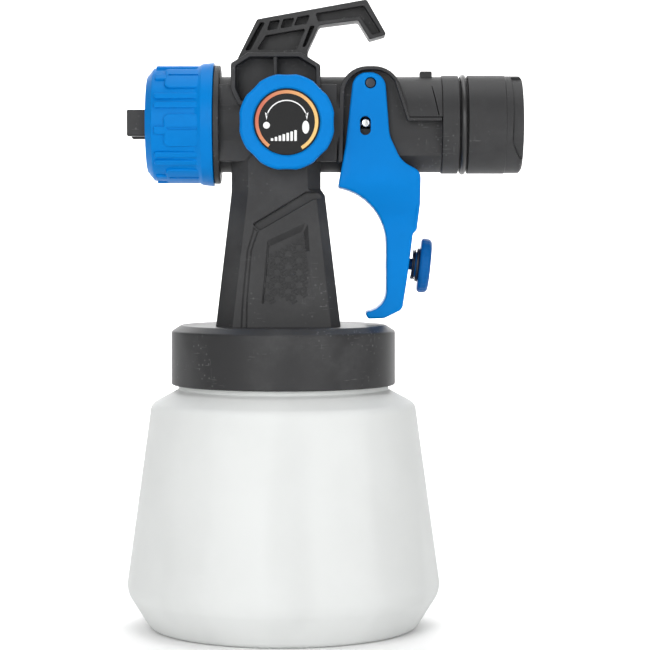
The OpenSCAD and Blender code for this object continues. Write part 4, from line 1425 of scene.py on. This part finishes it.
class GUN_OT_container(bpy.types.Operator):
    """Build the frosted container and the pickup tube inside it"""

    bl_idname = "gun.container"
    bl_label = "Container and tube"

    def execute(self, context):
        s = sizes_of("cup")
        r, neck, wall = s.largest_radius, s.neck_radius, s.wall
        top = node_box("container")[1].z
        cup = turned([
            (1, 0), (1, 38, 0.4), (0, 38.6, 0.3), (0, 51.3, 4), (14.6, r, 10), (86.2, 50.8, 4.0),
            (91.8, neck, 0.8), (top, neck, 0.4), (top, neck - wall, 0.4), (91.2, neck - wall, 0.8),
            (86.2 - 0.6, 50.8 - wall, 2.6), (14.6, r - wall, 8.2),
            (1 + wall, 51.3 - 0.6 * wall, 2.2), (1 + wall, 0),
        ], "Z", (0, 0), 192, 10)
        piece("container", cup, "container", "frosted_plastic")
        tube = self.tube(s.tube_radius, node_box("pickup_tube")[1].z)
        piece("pickup_tube", tube, "pickup_tube", "natural_plastic")
        return {"FINISHED"}

    @staticmethod
    def tube(radius, top):
        """Bent tube with its bore, from its top end down to the strainer."""
        bend_radius, bend_height, bend, lower = 20.0, 45.0, math.radians(50), 24.0
        line = [(0.0, top, 0.0)]
        for i in range(13):
            a = bend * i / 12
            line.append((bend_radius * (math.cos(a) - 1), bend_height - bend_radius * math.sin(a), a))
        x, z, a = line[-1]
        line.append((x - lower * math.sin(bend), z - lower * math.cos(bend), bend))
        sides = 32

        def ring(station, r):
            x, z, a = station
            return [
                (x + r * math.cos(t) * math.cos(a), r * math.sin(t), z - r * math.cos(t) * math.sin(a))
                for t in whole_turn(sides)
            ]

        rings = [ring(p, radius) for p in line] + [ring(p, radius - 1.1) for p in reversed(line)]
        bm = bmesh.new()
        made = [[bm.verts.new(point) for point in r] for r in rings]
        for a, b in zip(made, made[1:] + made[:1]):
            bridge(bm, a, b)
        return closed_mesh(bm)


class GUN_OT_inner_parts(bpy.types.Operator):
    """Give the inner engineering parts their finishes"""

    bl_idname = "gun.inner_parts"
    bl_label = "Inner parts"

    def execute(self, context):
        finishes = {
            "black_plastic": ("baffle_plate", "valve_spindle", "suction_strainer"),
            "natural_plastic": ("nut_thrust_ring", "needle_packing", "check_valve"),
            "rubber": ("nozzle_gasket", "spindle_oring", "lid_gasket", "valve_membrane", "tube_seal"),
            "steel": ("fluid_needle", "wheel_screw", "lid_screws"),
            "brass": ("packing_nut", "knob_insert"),
        }
        for name, nodes in finishes.items():
            for node in nodes:
                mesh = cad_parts[node].data
                mesh.materials.clear()
                mesh.materials.append(finish_of(name))
        return {"FINISHED"}


class GUN_OT_stage(bpy.types.Operator):
    """Set up the pale floor, the soft lights and the camera"""

    bl_idname = "gun.stage"
    bl_label = "Studio stage"

    def execute(self, context):
        scene = context.scene
        bm = bmesh.new()
        sweep = [
            (-5.0, 0.0), (1.2, 0.0), (1.5, 0.03), (1.75, 0.14), (1.9, 0.35), (1.95, 0.7), (1.95, 3.0),
        ]
        rows = [[bm.verts.new((x, y, z)) for x in (-5.0, 5.0)] for y, z in sweep]
        for a, b in zip(rows, rows[1:]):
            bm.faces.new((a[0], a[1], b[1], b[0]))
        mesh = bpy.data.meshes.new("studio_floor")
        bm.to_mesh(mesh)
        bm.free()
        mesh.shade_smooth()
        floor = bpy.data.objects.new("studio_floor", mesh)
        scene.collection.objects.link(floor)
        finish = Finish("studio_floor", Specular_IOR_Level=0.1)
        pale = tuple(scene.gun_colours.floor)
        finish.feed("Base Color", finish.mix(finish.noise(3.0) * 0.2, pale, darker(pale, 0.98)))
        finish.feed("Roughness", 0.85 + finish.noise(8.0) * 0.1)
        mesh.materials.append(finish.material)

        world = bpy.data.worlds.new("studio")
        world.use_nodes = True
        background = world.node_tree.nodes["Background"]
        background.inputs["Color"].default_value = (1, 1, 1, 1)
        background.inputs["Strength"].default_value = 0.36
        scene.world = world

        # name, place, target, width, height, watts
        for name, place, target, width, height, power in (
            ("key_light", (-0.36, -1.05, 0.46), (0, 0, 0.13), 0.5, 0.7, 6.0),
            ("fill_light", (0.62, -0.95, 0.34), (0, 0, 0.12), 0.5, 0.7, 3.8),
            ("top_light", (0.05, 0.05, 0.95), (0, 0, 0.1), 0.9, 0.7, 4.4),
            ("back_light", (0.0, 0.95, 0.5), (0, 0, 0.15), 1.2, 0.8, 3.6),
            ("backdrop_light", (0.0, 0.9, 1.2), (0, 1.95, 0.2), 2.4, 0.6, 37.0),
        ):
            data = bpy.data.lights.new(name, "AREA")
            data.shape = "RECTANGLE"
            data.size, data.size_y, data.energy = width, height, power
            lamp = bpy.data.objects.new(name, data)
            scene.collection.objects.link(lamp)
            lamp.location = place
            self.aim(lamp, target)

        data = bpy.data.cameras.new("camera")
        data.lens = 127.4
        data.sensor_width = 36.0
        camera = bpy.data.objects.new("camera", data)
        scene.collection.objects.link(camera)
        camera.location = (0.016, -0.885, 0.154)
        self.aim(camera, (0.016, 0.0, 0.1163))
        scene.camera = camera
        scene.view_settings.view_transform = "Standard"
        return {"FINISHED"}

    @staticmethod
    def aim(made, target):
        way = Vector(target) - made.location
        made.rotation_euler = way.to_track_quat("-Z", "Y").to_euler()


class GUN_PT_sidebar(bpy.types.Panel):
    """Spray gun pieces and sizes"""

    bl_idname = "GUN_PT_sidebar"
    bl_label = "Spray gun"
    bl_space_type = "VIEW_3D"
    bl_region_type = "UI"
    bl_category = "Spray gun"

    def draw(self, context):
        for operator in OPERATORS:
            self.layout.operator(operator.bl_idname)
        for label, _ in GROUPS:
            group = getattr(context.scene, label)
            box = self.layout.box()
            for key in group.__annotations__:
                box.prop(group, key)


GROUPS = (
    ("gun_shell_sizes", ShellSizes),
    ("gun_inlet_sizes", InletSizes),
    ("gun_nozzle_sizes", NozzleSizes),
    ("gun_wheel_sizes", WheelSizes),
    ("gun_trigger_sizes", TriggerSizes),
    ("gun_cup_sizes", CupSizes),
    ("gun_colours", Colours),
)
OPERATORS = (
    GUN_OT_stage, GUN_OT_shell, GUN_OT_hook, GUN_OT_inlet, GUN_OT_union_nut, GUN_OT_air_cap, GUN_OT_wheel,
    GUN_OT_trigger, GUN_OT_knob, GUN_OT_needle_spring, GUN_OT_lid, GUN_OT_container, GUN_OT_inner_parts,
)


def register():
    for label, group in GROUPS:
        bpy.utils.register_class(group)
        setattr(bpy.types.Scene, label, PointerProperty(type=group))
    for operator in OPERATORS:
        bpy.utils.register_class(operator)
    bpy.utils.register_class(GUN_PT_sidebar)


def unregister():
    bpy.utils.unregister_class(GUN_PT_sidebar)
    for operator in reversed(OPERATORS):
        bpy.utils.unregister_class(operator)
    for label, group in reversed(GROUPS):
        delattr(bpy.types.Scene, label)
        bpy.utils.unregister_class(group)


def main():
    register()
    for operator in OPERATORS:
        family, name = operator.bl_idname.split(".")
        getattr(getattr(bpy.ops, family), name)()


if __name__ == "__main__":
    main()
